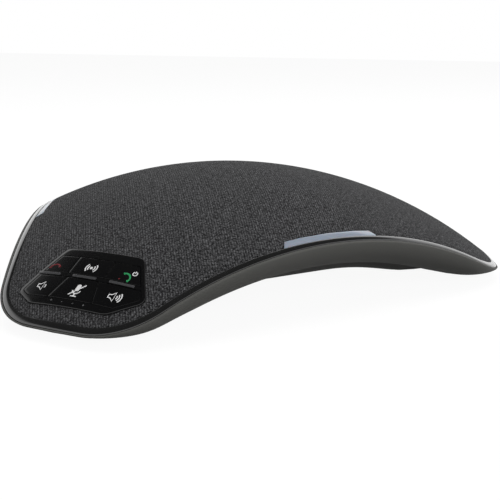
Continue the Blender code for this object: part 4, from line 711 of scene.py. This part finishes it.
def clipped(points, normal, limit):
    """The part of a convex outline where the dot product with a normal stays under a limit."""
    result = []
    values = [x * normal[0] + y * normal[1] - limit for x, y in points]
    for k, here in enumerate(points):
        after, value, following = points[(k + 1) % len(points)], values[k], values[(k + 1) % len(points)]
        if value <= 0:
            result.append(here)
        if (value < 0) != (following < 0) and value != 0:
            share = value / (value - following)
            result.append((here[0] + (after[0] - here[0]) * share, here[1] + (after[1] - here[1]) * share))
    return result


def evenly(points, spacing):
    """The same outline with points added along its long sides."""
    result = []
    for k, here in enumerate(points):
        after = points[(k + 1) % len(points)]
        length = math.dist(here, after)
        if length < 1e-6:
            continue
        for step in range(max(round(length / spacing), 1)):
            share = step / max(round(length / spacing), 1)
            result.append((here[0] + (after[0] - here[0]) * share, here[1] + (after[1] - here[1]) * share))
    return result


def domed_plate(name, outline, low, high, soft, loops):
    """A plate with the dome's curve and rounded upper edges, built in the panel's plane."""
    middle = Vector((sum(x for x, y in outline) / len(outline), sum(y for x, y in outline) / len(outline)))

    def loop(inset, height, share=1.0):
        ring = []
        for k, (x, y) in enumerate(outline):
            before, after = Vector(outline[k - 1]), Vector(outline[(k + 1) % len(outline)])
            along = (after - before).normalized()
            here = Vector((x, y)) - Vector((along.y, -along.x)) * inset
            px, py = middle + (here - middle) * share
            ring.append(PANEL @ Vector((px, py, height - sag(px, py))))
        return ring

    piece = start_ring(name, loop(0.0, low))
    next_ring(piece, loop(0.0, high - soft))
    for step in range(1, 4):
        angle = math.radians(30 * step)
        next_ring(piece, loop(soft * (1 - math.cos(angle)), high - soft + soft * math.sin(angle)))
    for step in range(1, loops):
        next_ring(piece, loop(soft, high, 1 - step / loops))
    close_shell(piece, ends=True)
    bpy.ops.object.shade_smooth_by_angle(angle=math.radians(40))
    return piece


def panel_gloss(name, dark=(0.002, 0.002, 0.0023), light=(0.004, 0.004, 0.0043), coat=0.1):
    """Satin black panel plastic, a little cloudy, with the finest grain."""
    wire = finish_named(name, IOR=1.45, Coat_Weight=coat, Coat_Roughness=0.08)
    place = own_coordinates(wire)
    fog = wire.node("TexNoise", inputs={"Vector": place, "Scale": 90.0, "Detail": 4.0})
    grain = wire.node("TexNoise", inputs={"Vector": place, "Scale": 5000.0, "Detail": 1.0})
    set_up(wire, Base_Color=mix(wire, fog, dark, light), Roughness=fog * 0.08 + 0.12,
           Normal=bump(wire, grain, 0.06, 0.00001))
    return wire


def row_band(points, row, gap):
    """An outline clipped to one row of keys."""
    way = {"rear": 1, "front": -1}[row]
    return clipped(clipped(points, (0, -way), -WEB - gap), (0, way), ROW_ENDS[row] - gap)


bezel = domed_plate("bezel", evenly(rounded_outline(PANEL_CORNERS), 0.0016), PANEL_PROUD - PANEL_THICKNESS,
                    PANEL_PROUD, 0.0003, 16)
KEY_WELL = rounded_outline(shrunk(PANEL_CORNERS, WELL_INSET))
for row in ROW_ENDS:
    boolean(bezel, flat_cutter("key_well", row_band(KEY_WELL, row, 0.0), CUT_LOW, CUT_HIGH, PANEL))
lamp_plans = [round_outline(LAMP_PITCH * (k - 1.5), LAMP_ROW, LAMP_RADIUS, 16) for k in range(4)]
boolean(bezel, joined([flat_cutter("lamp_hole", plan, CUT_LOW, CUT_HIGH, PANEL) for plan in lamp_plans]))
bpy.ops.object.shade_smooth_by_angle(angle=math.radians(40))
finished(bezel, panel_gloss("bezel_black", coat=0.3), "base", "panel_black", "panel_bezel")
bar_paint = panel_gloss("bar_grey", (0.045, 0.045, 0.048), (0.065, 0.065, 0.068))
for side, place in (("left", -BAR_PITCH), ("middle", 0.0), ("right", BAR_PITCH)):
    divider_plan = evenly(rounded_rectangle(0.0059, 0.00058, 0.0002, x=place, steps=3), 0.001)
    divider = domed_plate("divider_bar_" + side, divider_plan, PANEL_PROUD - 0.0006, PANEL_PROUD + 0.0003,
                          0.00015, 2)
    finished(divider, bar_paint, "base", "panel_black")

# ---- Keys
# Six domed caps in two rows, in the bezel's plastic, each with a mark printed on it. Each slides in its well
# on a stem, held by a lip under the bezel.
KEYS = {"hang_up": ("rear", -1), "pairing": ("rear", 0), "answer": ("rear", 1),
        "volume_down": ("front", -1), "mute": ("front", 0), "volume_up": ("front", 1)}
WELL_CLEAR = rounded_outline(shrunk(PANEL_CORNERS, WELL_INSET + GAP))
ROW_MIDDLES = {"rear": 0.0052, "front": -0.0066}
ROW_GROOVES = {"rear": (0.0, 0.0092), "front": (0.30, 0.0075)}
HALF_GROOVE, KEY_PITCH, HALF_PLUG, STEM_RADIUS = 0.0002, 0.0165, 0.0055, 0.0014
LIP_TOP = PANEL_PROUD - PANEL_THICKNESS - GAP
key_paint = panel_gloss("key_black")
for key, (row, column) in KEYS.items():
    outline = row_band(WELL_CLEAR, row, GAP)
    flare, groove = ROW_GROOVES[row]
    for side in (-1, 1):
        if column == 0:
            outline = clipped(outline, (side, flare), groove - HALF_GROOVE)
        elif column == side:
            outline = clipped(outline, (-side, -flare), -groove - HALF_GROOVE)
    cap = domed_plate("cap_" + key, evenly(outline, 0.0008), PANEL_PROUD - 0.0020, PANEL_PROUD, 0.00012, 8)
    middle, row_y = column * KEY_PITCH, ROW_MIDDLES[row]
    plug, lip = [clipped(clipped(band, (1, 0), middle + HALF_PLUG), (-1, 0), HALF_PLUG - middle)
                 for band in (outline, row_band(WELL_CLEAR, row, -0.0005))]
    plug = [(middle + (x - middle) * 0.98, row_y + (y - row_y) * 0.98) for x, y in plug]
    stem = round_outline(middle, row_y, STEM_RADIUS, 20)
    inside = [domed_plate("key_plug", evenly(plug, 0.001), LIP_TOP - 0.0004, PANEL_PROUD - 0.0016, 0.0001, 3),
              domed_plate("key_lip", evenly(lip, 0.001), LIP_TOP - 0.0008, LIP_TOP, 0.0001, 3),
              flat_cutter("key_stem", stem, -0.0046, -PANEL_THICKNESS, PANEL)]
    finished(joined([cap] + inside), key_paint, "key_" + key + "_body", "panel_black", "key_" + key)

# ---- Printed marks
# Plain symbols screen printed on the caps in white, green and red ink. Each follows the curve of its cap and
# rides on its key.


def print_ink(name, colour):
    """Screen printed ink, a little uneven in tone."""
    wire = finish_named(name, IOR=1.45)
    place = own_coordinates(wire)
    speck = wire.node("TexNoise", inputs={"Vector": place, "Scale": 3000.0, "Detail": 2.0})
    dim = tuple(value * 0.8 for value in colour)
    set_up(wire, Base_Color=mix(wire, speck, dim, colour), Roughness=speck * 0.1 + 0.45)
    return wire


white_ink = print_ink("white_ink", (0.86, 0.86, 0.86))
green_ink = print_ink("green_ink", (0.02, 0.30, 0.10))
red_ink = print_ink("red_ink", (0.14, 0.008, 0.012))
INK = 0.00006


def lay_on_keys(piece):
    """Press a flat mark in the panel's plane onto the curved caps and put it in the object's frame."""
    for vertex in piece.data.vertices:
        x, y, z = vertex.co
        vertex.co.z = PANEL_PROUD - sag(x, y) + (INK if z > 0 else -INK)
    piece.data.transform(PANEL)


def stroke(points, width, closed=False):
    """A flat printed line of some width through points, with round ends."""
    curve = bpy.data.curves.new("stroke", "CURVE")
    curve.dimensions = "3D"
    curve.bevel_depth = width / 2
    curve.bevel_resolution = 2
    curve.use_fill_caps = True
    line = curve.splines.new("POLY")
    line.points.add(len(points) - 1)
    for point, (x, y) in zip(line.points, points):
        point.co = (x, y, 0, 1)
    line.use_cyclic_u = closed
    piece = bpy.data.objects.new("stroke", curve)
    bpy.context.scene.collection.objects.link(piece)
    bpy.ops.object.select_all(action="DESELECT")
    piece.select_set(True)
    bpy.context.view_layer.objects.active = piece
    bpy.ops.object.convert(target="MESH")
    return bpy.context.object


def filled(points):
    """A flat printed patch inside an outline."""
    return flat_cutter("patch", points, -0.0001, 0.0001)


def arc(x, y, radius, start, end, steps=14):
    angles = [math.radians(start + (end - start) * k / steps) for k in range(steps + 1)]
    return [(x + radius * math.cos(angle), y + radius * math.sin(angle)) for angle in angles]


def mark(name, key, ink, shapes):
    """Join a mark's lines and patches, lay them on their key and let them ride on it."""
    piece = joined(shapes)
    piece.name = name
    lay_on_keys(piece)
    finished(piece, ink, "key_" + key + "_body", "panel_black")


def handset(x, y, angle, size):
    """A telephone handset: a bowed grip with a heavier cup at each end."""
    spin = Matrix.Rotation(math.radians(angle), 2)
    grip = [tuple(Vector((x, y)) + spin @ Vector(p)) for p in arc(0, -size * 0.35, size * 0.62, 30, 150)]
    shapes = [stroke(grip, size * 0.20)]
    for end in (grip[0], grip[-1]):
        foot = Vector(end) + spin @ Vector((0, -size * 0.14))
        shapes.append(stroke([end, tuple(foot)], size * 0.30))
    return shapes


def loudspeaker(x, y, waves):
    """A small loudspeaker outline with sound waves."""
    horn = [(x - 0.0030, y - 0.0008), (x - 0.0018, y - 0.0008), (x - 0.0002, y - 0.0022),
            (x - 0.0002, y + 0.0022), (x - 0.0018, y + 0.0008), (x - 0.0030, y + 0.0008)]
    shapes = [stroke(horn, 0.00055, closed=True)]
    for k in range(waves):
        shapes.append(stroke(arc(x - 0.0002, y, 0.0012 + 0.0010 * k, -42, 42), 0.0006))
    return shapes


mark("mark_hang_up", "hang_up", red_ink, handset(-0.0182, 0.0040, 10, 0.0044))
mark("mark_answer", "answer", green_ink, handset(0.0186, 0.0041, -48, 0.0044))
mark("mark_pairing", "pairing", white_ink,
     [filled(arc(0.0002, 0.0053, 0.0007, 0, 330, 11))]
     + [stroke(arc(0.0002, 0.0053, r, s - 45, s + 45), 0.0006) for r in (0.0016, 0.0027) for s in (0, 180)])
mark("mark_volume_down", "volume_down", white_ink, loudspeaker(-0.0168, -0.0073, 1))
mark("mark_volume_up", "volume_up", white_ink, loudspeaker(0.0192, -0.0070, 3))
mute_x, mute_y = 0.0009, -0.0072
capsule = [(mute_x + x, mute_y + y, 0.0009)
           for x, y in ((0.0010, -0.0006), (0.0010, 0.0029), (-0.0010, 0.0029), (-0.0010, -0.0006))]
mark("mark_mute", "mute", white_ink,
     [filled(rounded_outline(capsule, 5)),
      stroke(arc(mute_x, mute_y, 0.0019, 190, 350), 0.0006),
      stroke([(mute_x, mute_y - 0.0019), (mute_x, mute_y - 0.0032)], 0.0006),
      stroke([(mute_x - 0.0014, mute_y - 0.0033), (mute_x + 0.0014, mute_y - 0.0033)], 0.0006),
      stroke([(mute_x - 0.0029, mute_y - 0.0028), (mute_x + 0.0030, mute_y + 0.0030)], 0.0007)])
mark("mark_power", "answer", white_ink,
     [stroke(arc(0.0211, 0.0065, 0.0010, -240, 60), 0.00045),
      stroke([(0.0211, 0.0067), (0.0211, 0.0079)], 0.00045)])
mark("mark_busy_dot", "answer", red_ink, [filled(arc(0.0158, 0.0024, 0.00035, 0, 330, 11))])

# ---- Light guide under the lamps in front of the keys
# A clear acrylic bar, held under the bezel. Its four frosted pips show as small grey dots in the bezel's
# holes.
guide_paint = finish_named("frosted_pips", IOR=1.49)
frost = guide_paint.node("TexNoise", inputs={"Vector": own_coordinates(guide_paint), "Scale": 2500.0})
set_up(guide_paint, Base_Color=mix(guide_paint, frost, (0.06, 0.06, 0.062), (0.12, 0.12, 0.125)),
       Roughness=frost * 0.2 + 0.4)
merged_copy("lamp_pips", "light_guide", "milky_light", guide_paint, 35.0)

# ---- Inner parts
# What the shell holds, each in the finish of its trade: solder-masked boards, zinc-plated steel, nickel,
# moulded rubber and plastic, pressed paper, shrink wrap and lead sleeves.


def plated(name, dark, light, roughness, brushed):
    """Plated metal with fine scratches along one way."""
    wire = finish_named(name, Metallic=1.0)
    stretch = wire.node("Mapping", inputs={"Vector": own_coordinates(wire), "Scale": brushed})
    scratch = wire.node("TexNoise", inputs={"Vector": stretch, "Scale": 2500.0, "Detail": 4.0})
    stain = wire.node("TexNoise", inputs={"Vector": own_coordinates(wire), "Scale": 120.0, "Detail": 2.0})
    set_up(wire, Base_Color=mix(wire, stain, dark, light), Roughness=scratch * 0.2 + (roughness - 0.1),
           Normal=bump(wire, scratch, 0.1, 0.00001))
    return wire


def solder_mask():
    """Green solder mask with pale copper tracks under it."""
    wire = finish_named("solder_mask", IOR=1.5, Coat_Weight=0.4, Coat_Roughness=0.15)
    place = own_coordinates(wire)
    cells = wire.node("TexBrick", {"offset": 0.3}, {"Vector": place, "Scale": 240.0, "Mortar Size": 0.08},
                      out=1)
    noise = wire.node("TexNoise", inputs={"Vector": place, "Scale": 500.0})
    set_up(wire, Base_Color=mix(wire, cells * 0.5, (0.010, 0.075, 0.030), (0.03, 0.16, 0.06)),
           Roughness=noise * 0.15 + 0.28, Normal=bump(wire, cells, 0.1, 0.00003))
    return wire


def soft_rubber():
    wire = finish_named("soft_rubber", IOR=1.45)
    bloom = wire.node("TexNoise", inputs={"Vector": own_coordinates(wire), "Scale": 700.0, "Detail": 3.0})
    set_up(wire, Base_Color=mix(wire, bloom, (0.012, 0.012, 0.012), (0.03, 0.03, 0.03)),
           Roughness=bloom * 0.2 + 0.65)
    return wire


def pressed_paper():
    wire = finish_named("pressed_paper", IOR=1.4)
    pulp = wire.node("TexNoise", inputs={"Vector": own_coordinates(wire), "Scale": 1400.0, "Detail": 5.0})
    set_up(wire, Base_Color=mix(wire, pulp, (0.018, 0.017, 0.015), (0.06, 0.056, 0.05)),
           Roughness=pulp * 0.1 + 0.8, Normal=bump(wire, pulp, 0.3, 0.0001))
    return wire


def sleeve(name, dark, light, roughness):
    wire = finish_named(name, IOR=1.5)
    fade = wire.node("TexNoise", inputs={"Vector": own_coordinates(wire), "Scale": 300.0, "Detail": 2.0})
    set_up(wire, Base_Color=mix(wire, fade, dark, light), Roughness=fade * 0.1 + roughness)
    return wire


inner_paints = {
    "circuit_board": solder_mask(),
    "zinc_steel": plated("zinc_plate", (0.42, 0.43, 0.45), (0.58, 0.58, 0.58), 0.38, (1, 1, 12)),
    "bright_nickel": plated("nickel_plate", (0.50, 0.49, 0.46), (0.66, 0.64, 0.60), 0.28, (12, 1, 1)),
    "black_rubber": soft_rubber(),
    "black_plastic": moulded("inner_moulding", (0.016, 0.016, 0.017), (0.03, 0.03, 0.032), 0.5, 3000.0),
    "paper_cone": pressed_paper(),
    "battery_wrap": sleeve("shrink_wrap", (0.03, 0.08, 0.18), (0.06, 0.13, 0.28), 0.3),
    "lead_sleeve": sleeve("silicone_sleeve", (0.22, 0.02, 0.015), (0.34, 0.04, 0.03), 0.5),
}
slots = {entry["node"]: entry["material_slot"] for entry in frame["record"]["subparts"]}
for node, shape in frame["nodes"].items():
    if slots[node] in inner_paints:
        shape.data.materials.clear()
        shape.data.materials.append(inner_paints[slots[node]].material)

# The rubber roll round the cone, copied with a mesh of its own.
roll = merged_copy("surround_roll", "speaker_surround", "black_rubber", inner_paints["black_rubber"], 50.0)
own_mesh(roll)
